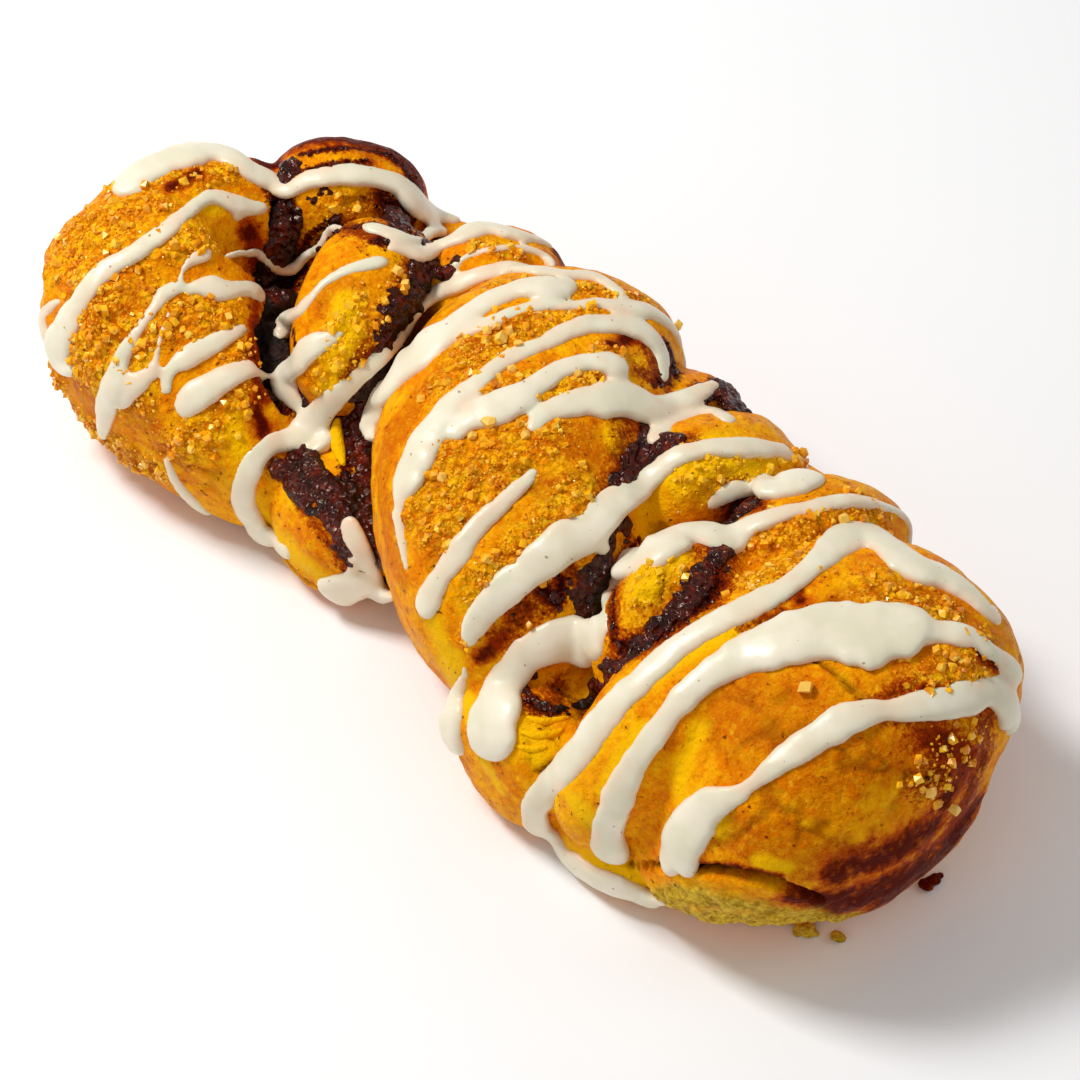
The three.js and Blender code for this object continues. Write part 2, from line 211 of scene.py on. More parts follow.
def meshArrays(mesh):
    points = np.empty(3 * len(mesh.vertices))
    mesh.vertices.foreach_get("co", points)
    corners = np.empty(len(mesh.loops), np.int32)
    mesh.loops.foreach_get("vertex_index", corners)
    return points.reshape(-1, 3) / mm, corners.reshape(len(mesh.polygons), -1)


def normalsOf(points, faces):
    first, second, third, fourth = (points[faces[:, k]] for k in range(4))
    across = np.cross(third - first, fourth - second)
    total = np.zeros_like(points)
    for k in range(4):
        np.add.at(total, faces[:, k], across)
    return unit(total)


def welded(parts, voxel, smoothing):  # closed parts melted into one skin
    points, faces, first = [], [], 0
    for partPoints, partFaces in parts:
        points.append(partPoints)
        faces += [[first + corner for corner in face] for face in partFaces]
        first += len(partPoints)
    holder = objectOf("welding", np.vstack(points), faces)
    remesh = holder.modifiers.new("melt", "REMESH")
    remesh.mode = "VOXEL"
    remesh.voxel_size = voxel * mm
    smooth = holder.modifiers.new("smooth", "SMOOTH")
    smooth.iterations = smoothing
    smooth.factor = 0.5
    shown = holder.evaluated_get(bpy.context.evaluated_depsgraph_get())
    arrays = meshArrays(shown.data)
    bpy.data.objects.remove(holder)
    return arrays


def rings(start, loops, end):        # closed skin over rings of points, with a point at each end
    sides = len(loops[0])
    points = np.vstack([start[None], *loops, end[None]])
    at = lambda ring, side: 1 + ring * sides + side % sides
    faces = [[0, at(0, side + 1), at(0, side)] for side in range(sides)]
    for ring, side in itertools.product(range(len(loops) - 1), range(sides)):
        faces.append([at(ring, side), at(ring, side + 1), at(ring + 1, side + 1), at(ring + 1, side)])
    ring = len(loops) - 1
    faces += [[at(ring, side), at(ring, side + 1), len(points) - 1] for side in range(sides)]
    return points, faces


# dough: folds with a rounded section, melted into one skin
dough = {
    "voxel": 0.66,
    "smoothing": 5,
    "roundness": 2.5,                # exponent of a fold's section, 2 is an ellipse
    "footRoundness": 2.9,
    "taper": 3,
    "footTaper": 0.4,
    "sink": 1,
    "stations": 40,
    "sides": 32,
}
folds = {                            # path, half widths and half heights of each fold on the floor
    "endBand": ([(52, -35, 9), (59, -16.4, 20), (61.2, 5.5, 22.2), (63, 20, 15.5)],
                [15, 20.4, 20, 14], [9, 19, 19.4, 14]),
    "endFold": ([(39, -37, 10), (46, -20, 20), (51, 2, 23), (56, 24, 16)],
                [9, 11, 11, 10], [10, 17, 18, 14]),
    "isleMid": ([(20, -1, 25), (22, 12.5, 24.5), (25, 23, 13)], [8, 9.5, 8.5], [12, 13, 13]),
    "isleSide": ([(38, -5, 26), (40, 11, 25), (43, 26.5, 13.5)], [7, 9, 8], [11, 13, 13]),
    "middle": ([(24, -28, 11), (10, -14, 21), (-5, 6, 24), (-10, 34.4, 23)],
               [12, 19, 22, 20], [11, 18, 18, 18.5]),
    "middleBack": ([(-30, 9, 24), (-28, 20, 21), (-25, 31, 14)], [8, 10, 10], [12, 14, 12]),
    "farBack": ([(-62.5, 13, 20.2), (-57, 18.5, 21.1), (-50.5, 25.5, 14)], [8, 9.2, 9], [14.5, 15.3, 13]),
    "farRear": ([(-62, 13, 10), (-42, 24, 11), (-20, 27, 12)], [12, 12, 11], [10, 12, 12]),
    "nearRear": ([(6, 24, 10), (30, 24, 10), (56, 19, 10)], [9, 11, 10], [9, 10, 9]),
    "farBand": ([(-58.5, 16.5, 24.6), (-68.6, 0.4, 22.6), (-64.5, -12.6, 20), (-44, -18, 15),
                 (-27, -19, 10)], [10, 12, 16.4, 12, 8], [15.8, 16.8, 17.6, 13, 9]),
    "lowerFold": ([(-34, -15, 9), (-22, -17, 10), (-10, -15, 8)], [8, 9, 7], [9, 10, 8]),
    "lowerSide": ([(14, -29, 8), (27, -30, 11), (38, -31, 9)], [8, 8, 8], [9, 11, 9]),
    "baseEdge": ([(34, -31, 5), (43, -31.5, 5), (53, -30, 5)], [5, 5, 5], [6, 6, 6]),
    "core": ([(-66, 3, 11), (-28, 8, 12), (32, -1, 12), (63, -4, 11)], [17, 22, 27, 21], [12, 13, 12, 12]),
}
raisedFolds = {                      # those that lie between and upon the others
    "isleKnob": ([(15, 7, 26), (11, 19, 25), (9, 29.5, 20.5)], [6, 7, 6], [8, 8, 7.5]),
    "isleFront": ([(34, -22, 19), (35.5, -10, 26.5), (36, 2, 24.5)], [6, 9, 8], [9, 13, 12]),
    "isleJoin": ([(27, -14, 21), (31, -6, 24.5), (34, 4, 25)], [5, 6, 6], [7, 9, 9]),
    "farIsle": ([(-43, 19, 24), (-38, 4, 25), (-31, -11, 20)], [9, 9, 7], [12, 14, 12]),
    "tornLedge": ([(46, -29, 2.4), (56, -27, 2.4), (66, -20.6, 2.4), (72.5, -12.6, 2)],
                  [3, 3.4, 3.4, 2.2], [2.2, 2.8, 2.8, 1.8]),
}


def fold(path, w, h, foot):
    t = (1 - np.cos(np.linspace(0, math.pi, dough["stations"]))) / 2
    middle = curveThrough(path, t)
    sizes = curveThrough(np.stack([w, h], axis=1), t)
    close = np.sqrt(np.clip(1 - np.abs(2 * t - 1) ** dough["taper"], 0, 1))
    ahead = unit(np.gradient(middle, axis=0))
    aside = unit(np.cross(ahead, [0, 0, 1]))
    up = np.cross(aside, ahead)
    turns = np.linspace(0, 2 * math.pi, dough["sides"], endpoint=False)
    cos, sin = np.cos(turns), np.sin(turns)
    roundness = np.where((sin < 0) & foot, dough["footRoundness"], dough["roundness"])
    across = np.sign(cos) * np.abs(cos) ** (2 / roundness)
    high = np.sign(sin) * np.abs(sin) ** (2 / roundness)
    loops = []
    for i in range(1, len(t) - 1):
        wide, tall = sizes[i] * close[i]
        standing = max(sizes[i][1], middle[i][2] + dough["sink"]) * close[i] ** dough["footTaper"]
        reach = np.where(high < 0, standing if foot else tall, tall)
        loops.append(middle[i] + np.outer(across * wide, aside[i]) + np.outer(high * reach, up[i]))
    return rings(middle[0], loops, middle[-1])


foldParts = [fold(*sizes, True) for sizes in folds.values()]
foldParts += [fold(*sizes, False) for sizes in raisedFolds.values()]
doughPoints, doughFaces = welded([(points + shift, faces) for points, faces in foldParts],
                                 dough["voxel"], dough["smoothing"])
doughPoints[:, 2] = np.maximum(doughPoints[:, 2], 0)
plainSkin = Skin(doughPoints, doughFaces)
print("dough folded:", len(doughPoints), "points")


openness = {
    "reach": 12,                     # how far away dough still shades a place
    "start": 0.4,                    # rays start this far off the skin
    "slant": 0.15,                   # flatter rays than this are left out
    "least": 0.1,
}


def shelter(points, normals, skin):  # 0 in the open, 1 in a crevice; painted into colours as shade
    ways = itertools.product((-1, 0, 1), repeat=3)
    rays = unit(np.array([way for way in ways if way[2] >= 0 and any(way)]))
    facing = normals @ rays.T
    blocked = np.zeros(len(points))
    total = np.zeros(len(points))
    starts = points + normals * openness["start"]
    for k, ray in enumerate(rays):
        direction = Vector(ray)
        for i in np.flatnonzero(facing[:, k] > openness["slant"]):
            total[i] += facing[i, k]
            if skin.tree.ray_cast(Vector(starts[i]), direction, openness["reach"])[0] is not None:
                blocked[i] += facing[i, k]
    return blocked / np.maximum(total, openness["least"])


# marks: where the photo shows sugar, stains, pale and brown crust. x, y and width
brush = {"step": 6, "ragged": 0.35, "raggedSize": 3, "reach": 2.2}


def brushed(points, strokes, seed, soft):
    mask = np.zeros(len(points))
    wobble = 1 + brush["ragged"] * roughNoise(points, brush["raggedSize"], 3, seed)
    for stroke in strokes:
        for x, y, width in evenly(stroke, brush["step"]) if len(stroke) > 1 else stroke:
            spot, _ = plainSkin.nearPhoto(x, y)
            if spot is None:
                continue
            radius = spanOf(width / 2)
            near = np.flatnonzero(np.abs(points - spot).max(axis=1) < brush["reach"] * radius)
            far = np.linalg.norm(points[near] - spot, axis=1) * wobble[near]
            level = 1 - smoothStep(radius * (1 - soft), radius * (1 + soft), far)
            mask[near] = np.maximum(mask[near], level)
    return mask


marks = {
    "stain": [                       # cinnamon that has soaked into the dough
        [(300, 156, 8), (330, 150, 9), (370, 150, 10), (400, 164, 16), (412, 184, 16)],
        [(285, 176, 6), (310, 170, 8), (340, 163, 8), (368, 160, 8)], [(385, 198, 20), (402, 214, 30)],
        [(320, 246, 14), (332, 236, 12)], [(404, 190, 22), (404, 212, 30), (396, 236, 30), (372, 240, 12)],
        [(290, 195, 14), (286, 220, 18), (290, 248, 16)],
        [(268, 180, 16), (278, 205, 20), (282, 235, 22), (276, 262, 20)],
        [(272, 290, 24), (270, 320, 24), (264, 350, 20), (272, 385, 20), (290, 408, 16)],
        [(325, 222, 8), (305, 243, 12), (302, 262, 16), (294, 285, 14), (290, 310, 10), (298, 350, 8)],
        [(345, 228, 8), (380, 224, 10), (412, 238, 12), (440, 238, 12)],
        [(424, 250, 20), (420, 285, 22), (406, 318, 18), (384, 350, 14), (356, 372, 10)],
        [(624, 396, 10), (644, 420, 16), (640, 455, 16), (616, 490, 10)],
        [(668, 345, 18), (676, 368, 20), (655, 384, 12)], [(716, 380, 18), (738, 396, 20), (700, 390, 12)],
        [(735, 508, 20), (757, 505, 12)], [(345, 450, 12), (350, 500, 18), (365, 550, 18)],
        [(544, 590, 14), (556, 604, 16), (562, 580, 12)], [(524, 684, 10), (536, 706, 14), (566, 708, 10)],
        [(718, 548, 20), (712, 580, 20), (690, 612, 18), (655, 634, 16), (622, 650, 18)],
        [(640, 540, 10), (622, 560, 8), (614, 600, 6), (614, 640, 10)],
    ],
    "rust": [                        # reddish grainy dough round the filling
        [(380, 200, 44), (392, 232, 44), (340, 226, 40)], [(330, 168, 20), (370, 166, 20)],
        [(255, 250, 20), (258, 300, 22), (252, 350, 22), (262, 395, 26)], [(306, 250, 34), (296, 300, 24)],
        [(408, 270, 44), (404, 310, 44), (378, 348, 40), (350, 376, 26)],
        [(600, 385, 30), (626, 425, 40), (622, 465, 40), (600, 500, 20)],
        [(650, 350, 30), (664, 375, 36), (640, 370, 26)],
        [(548, 592, 56), (520, 615, 44), (570, 575, 40), (500, 640, 30)],
        [(520, 690, 36), (545, 705, 40), (560, 684, 24)],
        [(722, 545, 50), (708, 592, 56), (662, 632, 50), (622, 650, 40)], [(735, 508, 60), (760, 505, 30)],
        [(628, 540, 26), (614, 590, 26), (612, 630, 26)], [(262, 452, 22), (290, 478, 24), (330, 505, 24)],
        [(300, 505, 20), (325, 535, 20), (350, 572, 20)], [(700, 390, 40), (740, 400, 30)],
        [(690, 440, 26), (668, 462, 26)], [(780, 610, 18), (740, 630, 12)],
        [(905, 690, 30), (860, 715, 20), (950, 712, 24)], [(930, 740, 50), (962, 760, 50), (925, 780, 40)],
        [(800, 575, 26), (780, 600, 20)], [(985, 720, 50), (978, 770, 50), (960, 815, 50)],
    ],
    "toast": [                       # evenly browned
        [(730, 690, 70), (770, 715, 100), (830, 745, 100), (890, 750, 70)],
        [(720, 830, 40), (800, 860, 60)], [(850, 600, 40), (930, 605, 50), (985, 640, 40)],
        [(392, 430, 30), (384, 480, 30), (390, 540, 30), (404, 580, 24)], [(470, 350, 30), (520, 330, 24)],
        [(420, 395, 30), (400, 440, 24)], [(130, 280, 50)], [(250, 420, 30), (290, 450, 20)],
        [(90, 400, 50), (110, 450, 40), (150, 470, 40)], [(785, 610, 30), (745, 640, 24)],
        [(580, 440, 50), (600, 465, 50)], [(540, 545, 50)], [(120, 330, 50), (100, 300, 40)],
        [(335, 295, 50)], [(640, 600, 24), (625, 580, 24)], [(930, 620, 40), (900, 690, 50)],
        [(140, 410, 40), (160, 440, 30)],
    ],
    "pale": [                        # soft yellow dough that the oven's heat reached less
        [(680, 470, 70), (720, 452, 60), (775, 470, 44)], [(650, 500, 44), (640, 580, 34)],
        [(645, 588, 46), (668, 560, 44)], [(345, 300, 30), (345, 340, 36), (332, 390, 34)],
        [(250, 500, 34), (285, 545, 44), (330, 582, 34)], [(530, 735, 56), (545, 750, 46)],
        [(338, 428, 20), (335, 458, 16)], [(425, 600, 24), (440, 640, 30), (455, 690, 24)],
        [(550, 800, 40), (600, 725, 44), (661, 668, 34), (745, 626, 26)], [(605, 790, 26), (640, 730, 24)],
        [(560, 855, 40), (640, 880, 34)], [(575, 800, 30), (590, 820, 30)],
        [(940, 868, 10), (985, 820, 10)], [(612, 436, 26), (622, 450, 26)],
        [(200, 203, 24), (215, 208, 24)], [(455, 655, 20), (480, 750, 26), (500, 790, 20)],
        [(760, 862, 20), (785, 866, 20)], [(700, 730, 26), (680, 790, 26), (720, 830, 30)],
        [(235, 420, 24), (240, 450, 24)],
    ],
    "brown": [                       # crust that baked darkest, and on the near end's lower right partly painted shade
        [(262, 160, 34), (300, 142, 44), (345, 135, 48), (385, 138, 54), (408, 165, 54), (422, 198, 40)],
        [(790, 896, 30), (850, 900, 90), (900, 884, 110), (945, 850, 100), (972, 812, 60)],
        [(845, 870, 60), (890, 855, 60), (930, 830, 60)], [(935, 740, 40), (962, 765, 40), (945, 800, 40)],
        [(700, 866, 12), (740, 868, 10), (780, 876, 10)], [(795, 575, 24), (800, 600, 20)],
        [(196, 178, 20), (170, 190, 16)], [(250, 235, 30), (262, 260, 22)],
        [(640, 330, 22), (610, 345, 20)], [(560, 250, 24), (575, 262, 20)],
        [(500, 640, 20), (480, 660, 18)], [(965, 640, 24), (990, 665, 20)],
        [(255, 300, 16), (252, 350, 18), (262, 395, 24)], [(925, 690, 20), (985, 700, 24)],
        [(255, 405, 20), (264, 432, 18)],
    ],
    "sugar": [                       # where coarse sugar lies thick
        [(64, 256, 60), (104, 285, 60), (80, 360, 60), (150, 330, 50)], [(160, 300, 46), (215, 322, 50)],
        [(245, 352, 36), (236, 398, 44)], [(60, 390, 40), (95, 430, 44), (130, 450, 30)],
        [(90, 225, 50), (150, 205, 50)], [(200, 240, 40), (120, 250, 50)], [(210, 430, 40), (180, 450, 40)],
        [(120, 186, 40), (180, 178, 40), (230, 172, 24)], [(70, 430, 40), (120, 460, 40), (160, 470, 40)],
        [(100, 320, 70), (130, 390, 60)], [(500, 290, 34), (560, 287, 30), (640, 300, 20)],
        [(455, 385, 56), (500, 335, 46), (590, 312, 30)], [(440, 450, 56), (415, 510, 46)],
        [(480, 405, 60), (560, 385, 44), (600, 370, 36)], [(530, 445, 70), (470, 480, 60), (440, 530, 50)],
        [(570, 490, 50), (530, 550, 50), (480, 590, 44)], [(770, 540, 50), (820, 525, 50), (870, 508, 40)],
        [(800, 565, 40), (750, 580, 44)], [(690, 470, 50), (760, 470, 46), (800, 460, 30)],
        [(880, 590, 50), (935, 610, 44)], [(930, 690, 50), (985, 650, 40)],
        [(960, 745, 50), (930, 780, 40)], [(420, 262, 26), (330, 385, 40)],
        [(610, 350, 34), (580, 375, 24)], [(520, 255, 24), (480, 245, 20)],
        [(470, 640, 24), (490, 600, 24)], [(360, 300, 30), (330, 350, 34)], [(340, 205, 40)],
        [(660, 560, 40), (640, 600, 30)],
    ],
    "hollow": [                      # creases and gaps, pressed in and darkened with painted shade
        [(806, 655, 5), (830, 668, 6), (850, 686, 6), (868, 702, 5)],
        [(836, 600, 8), (800, 612, 8), (760, 622, 6)], [(655, 556, 5), (664, 580, 6), (660, 600, 5)],
        [(238, 508, 6), (262, 540, 8), (296, 572, 8), (318, 586, 6)],
        [(540, 772, 6), (575, 745, 7), (600, 712, 6)],
    ],
    "torn": [                        # ragged crumb at the foot
        [(655, 895, 20), (700, 900, 32), (740, 907, 36), (780, 914, 36), (825, 922, 34), (850, 922, 18)],
        [(664, 908, 30), (700, 914, 40), (740, 919, 40), (780, 925, 40), (815, 932, 34), (838, 934, 20)],
        [(664, 916, 30), (700, 924, 40), (740, 930, 44), (780, 936, 40), (815, 940, 30)],
    ],
    "crevice": [                     # the split above the torn foot, pressed in and darkened with painted shade
        [(632, 864, 6), (690, 869, 10), (730, 874, 11), (775, 882, 11), (820, 898, 8)],
    ],
    "crust": [                       # thick sugared rim
        [(58, 236, 40), (44, 262, 40), (42, 300, 40), (44, 340, 40), (56, 385, 26)],
    ],
    "wrinkled": [                    # fine creases, pressed in and darkened with painted shade
        [(735, 840, 50), (780, 820, 90), (840, 800, 90), (890, 780, 60)], [(150, 430, 40), (200, 470, 50)],
        [(320, 210, 30), (360, 205, 30)], [(560, 700, 20), (540, 745, 40)], [(600, 820, 30)],
        [(740, 720, 60), (800, 730, 70)], [(670, 590, 40)], [(520, 470, 60), (460, 560, 50)],
    ],
    "shade": [                       # painted shade between the far folds
        [(286, 232, 40), (281, 262, 46), (275, 300, 44), (272, 350, 38), (282, 395, 30)],
    ],
    "gap": [                         # pressed in between the far folds
        [(280, 205, 14), (280, 250, 24), (274, 290, 26), (270, 330, 26), (272, 370, 26), (286, 405, 16)],
    ],
}
softness = {"stain": 0.75, "rust": 0.9, "toast": 0.95, "pale": 0.95, "brown": 0.95, "sugar": 0.7,
            "torn": 0.5, "hollow": 0.5, "crust": 0.8, "wrinkled": 0.8, "shade": 0.7, "gap": 0.5,
            "crevice": 0.5}
relief = {"wave": 0.5, "waveSize": 11, "bump": 0.3, "bumpSize": 4.2, "grain": 0.14, "grainSize": 1.7,
          "sugar": 0.75, "sugarGrain": 1.9, "torn": 1.2, "tornSize": 2.2, "hollow": 0.8, "gap": 4.0,
          "crevice": 2.6, "crust": 1.5, "crustSize": 2.5, "wrinkle": 0.4, "wrinkleSize": 7,
          "wrinkleWidth": (0.14, 0.02), "sugarEdge": (1, 0.2), "foot": (0.2, 2.5)}
granules = {"rust": 0.3, "least": 0.25}      # they lie on the stains, and a few on the rust

masks = {name: brushed(doughPoints, marks[name], seed, softness[name])
         for seed, name in enumerate(marks, 10)}
creases = np.abs(roughNoise(doughPoints, relief["wrinkleSize"], 3, 45))
wrinkle = masks["wrinkled"] * smoothStep(*relief["wrinkleWidth"], creases)
sugarGrains = smoothStep(*relief["sugarEdge"], grainsAt(doughPoints, relief["sugarGrain"], 6))
normals = normalsOf(doughPoints, doughFaces)
lift = relief["wave"] * noiseAt(doughPoints, relief["waveSize"], 1)
lift += relief["bump"] * roughNoise(doughPoints, relief["bumpSize"], 2, 2)
lift += relief["grain"] * noiseAt(doughPoints, relief["grainSize"], 5)
lift += relief["sugar"] * masks["sugar"] * sugarGrains
lift -= relief["hollow"] * masks["hollow"] + relief["gap"] * masks["gap"]
lift -= relief["wrinkle"] * wrinkle
lift += relief["crust"] * masks["crust"] * (0.7 + 0.6 * noiseAt(doughPoints, relief["crustSize"], 7))
lift -= relief["crevice"] * masks["crevice"]
lift += relief["torn"] * masks["torn"] * roughNoise(doughPoints, relief["tornSize"], 3, 8)
standing = smoothStep(*relief["foot"], doughPoints[:, 2])    # the underside stays flat
doughPoints = doughPoints + normals * (lift * np.maximum(standing, masks["torn"] * 0.8))[:, None]
doughPoints[:, 2] = np.maximum(doughPoints[:, 2], 0)

plainSkin = Skin(doughPoints, doughFaces)
doughPiece = objectOf("baked_dough", doughPoints, doughFaces)
# painted shade: places hidden from the sky, and the shade marks, are darkened in the crust colour
sheltered = shelter(doughPoints, normalsOf(doughPoints, doughFaces), plainSkin)
masks["deep"] = np.maximum(sheltered, masks["shade"])
# creases, the crevice and wrinkles are darkened in the crust colour as painted shade
masks["hollow"] = np.maximum(np.maximum(masks["hollow"], masks["crevice"]), wrinkle * 0.6)
masks["granules"] = np.clip(masks["stain"] + granules["rust"] * masks["rust"] - granules["least"], 0, 1)


def paintOn(piece, name, values):
    layer = piece.data.attributes.new(name, "FLOAT", "POINT")
    layer.data.foreach_set("value", np.asarray(values, np.float32))


for name, mask in masks.items():
    paintOn(doughPiece, name, mask)
print("dough finished")


# bands: filling and icing run along lines on the surface
bandShape = {
    "sides": 16,
    "photoStep": 3.5,                # pixels between sections, and mm where the photo doesn't show them
    "tailStep": 0.8,
    "most": 1.5,                     # greatest height
    "flat": 0.7,                     # lower makes the section boxier
    "endTaper": 0.7,
    "outward": 0.6,                  # how much a band faces away from the heart line
    "turnEasing": 14,
    "placeEasing": (2, 3),
    "widthEasing": 6,
    "slant": (0.2, 0.6),             # least share of its width that a slanted band shows
    "waver": (4, 1.8),               # size of the bends in its edges
    "seeds": (21, 22),
}


def lineOn(skin, photo, tail):       # columns: place, normal, width, 1 where read off the photo
    rows = []
    for x, y, width in evenly(photo, bandShape["photoStep"]) if len(photo) else []:
        spot, normal = skin.nearPhoto(x, y)
        if spot is not None:
            rows.append([*spot, *normal, spanOf(width), 1])
    if len(tail) > 1:
        for x, angle, width in evenly(tail, bandShape["tailStep"]):
            spot, normal = skin.fromHeart(x, angle)
            rows.append([*spot, *normal, width, 0])
    return np.array(rows)


def band(skin, photo, tail, rise, root, hang=12, wobble=0.13):
    rows = lineOn(skin, photo, tail)
    axis = np.column_stack([rows[:, 0], np.full(len(rows), heart["y"] + shift[1]),
                            np.full(len(rows), heart["z"])])
    outward = bandShape["outward"] * unit(rows[:, :3] - axis)
    normal = unit(eased(unit(rows[:, 3:6]) + outward, bandShape["turnEasing"]))
    before, after = bandShape["placeEasing"]
    centre = eased(rows[:, :3], before)
    lifted = np.maximum(((eased(centre, hang) - centre) * normal).sum(axis=1), 0)
    centre = eased(centre + normal * lifted[:, None], after)
    run = np.concatenate([[0], np.cumsum(np.linalg.norm(np.diff(centre, axis=0), axis=1))])
    ahead = unit(np.gradient(centre, axis=0))
    aside = unit(np.cross(ahead, normal))
    top = np.cross(aside, ahead)
    seen = np.abs((ahead @ right) * (aside @ above) - (ahead @ above) * (aside @ right))
    steepest, narrowest = bandShape["slant"]
    seen /= np.maximum(np.hypot(ahead @ right, ahead @ above), steepest)
    seen = eased(np.clip(seen, narrowest, 1), bandShape["widthEasing"])     # a slanted band looks narrower
    width = rows[:, 6] / np.where(rows[:, 7] > 0, seen, 1)
    ends = np.minimum(run, run[-1] - run) / (width / 2)
    close = np.sqrt(np.clip(1 - (1 - np.minimum(ends, 1)) ** 2, 0, 1))
    reaches = []
    for way in (-1, 1):              # each edge wanders by itself
        rim = centre + aside * (way * width / 2)[:, None]
        broad, narrow = (noiseAt(rim, *bend) for bend in zip(bandShape["waver"], bandShape["seeds"]))
        reaches.append(width / 2 * close * (1 + wobble * (broad + narrow)))
    turns = np.linspace(0, 2 * math.pi, bandShape["sides"], endpoint=False)
    cos, sin = np.cos(turns), np.sin(turns)
    loops = []
    for i in range(1, len(centre) - 1):
        high = min(rise * width[i], bandShape["most"]) * close[i] ** bandShape["endTaper"]
        reach = np.where(sin > 0, high * np.abs(sin) ** bandShape["flat"], root * sin)
        side = np.where(cos > 0, reaches[1][i], reaches[0][i]) * cos
        loops.append(centre[i] + np.outer(side, aside[i]) + np.outer(reach, top[i]))
    return rings(centre[0], loops, centre[-1])


# cinnamon filling
filling = {"voxel": 0.5, "smoothing": 2, "rise": 0.12, "root": 5, "patchRoot": 5 / 3, "patchHang": 4,
           "ragged": 0.4, "grain": 0.9, "grainSize": 1.5, "wave": 0.5, "waveSize": 4, "lowest": 0.2}
seams = {                            # x, angle about the heart line, width
    "farGap": [(-62, 32, 5), (-57, 26, 6), (-51, 2, 7), (-43, -22, 6), (-24, -37, 6)],
    "farTop": [(-58, 27, 2.5), (-50, 36, 2.5), (-36, 40, 3)],
    "middleFar": [(-37, 42, 5), (-32, 27, 5), (-28, 2, 6), (-26, -26, 7), (-17, -53, 7), (-9, -74, 5)],
    "lowerTop": [(-33, -50, 5), (-25, -58, 7), (-16, -56, 6)],
    "middleNear": [(12, 50, 4), (15, 20, 4), (20, -6, 4), (24, -24, 5), (25.5, -42, 6)],
    "isleGap": [(31, 22, 3), (37, -2, 3), (38, -28, 3.5), (35, -44, 4)],
}
fillingPatches = {                   # x, y and width on the photo
    "lobeTop": [(268, 462, 20), (295, 480, 30), (325, 498, 34), (345, 528, 34), (362, 568, 26),
                (385, 595, 18)],
    "lobeSide": [(356, 430, 20), (360, 470, 26), (350, 500, 28)],
    "middleSide": [(383, 392, 14), (368, 430, 22), (364, 470, 22), (372, 520, 20)],
    "isleEnd": [(424, 268, 20), (410, 305, 24), (388, 338, 20), (366, 362, 12)],
    "farEnd": [(462, 256, 10), (444, 272, 18), (425, 255, 16)],
    "bandEnd": [(648, 402, 16), (656, 420, 26), (644, 445, 26), (632, 466, 18), (608, 484, 8)],
    "knobFoot": [(640, 468, 16), (655, 455, 24), (672, 440, 20), (684, 432, 10)],
    "knob": [(690, 408, 14), (706, 396, 22), (722, 388, 24), (738, 398, 22), (742, 412, 10)],
    "blob": [(588, 564, 26), (586, 582, 40), (588, 600, 38), (592, 610, 20)],
    "blobSide": [(548, 592, 10), (556, 602, 12), (566, 610, 10)],
    "islePatch": [(622, 520, 22), (634, 532, 28)],
    "ring": [(522, 686, 12), (532, 702, 12), (552, 710, 10), (576, 708, 10), (598, 692, 18), (612, 668, 22),
             (602, 654, 14)],
    "ringTop": [(528, 680, 8), (536, 666, 7), (548, 656, 5)],
    "frontSide": [(712, 540, 14), (718, 560, 14), (704, 582, 16), (700, 598, 14), (686, 614, 12),
                  (660, 628, 10), (636, 640, 14), (618, 655, 22)],
    "isleNotch": [(728, 512, 10), (744, 508, 18), (758, 506, 12)],
    "backEnd": [(396, 212, 20), (398, 238, 22)],
}
fillingParts = [band(plainSkin, [], line, filling["rise"], filling["root"])
                for line in seams.values()]
fillingParts += [band(plainSkin, line, [], filling["rise"], filling["patchRoot"], filling["patchHang"],
                      filling["ragged"]) for line in fillingPatches.values()]
fillingPoints, fillingFaces = welded(fillingParts, filling["voxel"], filling["smoothing"])
bulge = filling["grain"] * (0.55 - grainsAt(fillingPoints, filling["grainSize"], 31))
bulge += filling["wave"] * noiseAt(fillingPoints, filling["waveSize"], 33)
fillingPoints = fillingPoints + normalsOf(fillingPoints, fillingFaces) * bulge[:, None]
fillingPoints[:, 2] = np.maximum(fillingPoints[:, 2], filling["lowest"])
fillingPiece = objectOf("cinnamon_swirl", fillingPoints, fillingFaces)
# painted shade: the filling is darkened where the dough hides it from the sky and in the far gap
sheltered = shelter(fillingPoints, normalsOf(fillingPoints, fillingFaces), plainSkin)
shaded = brushed(fillingPoints, marks["shade"], 20, softness["shade"])
paintOn(fillingPiece, "deep", np.maximum(sheltered, shaded))
print("filling laid:", len(fillingPoints), "points")


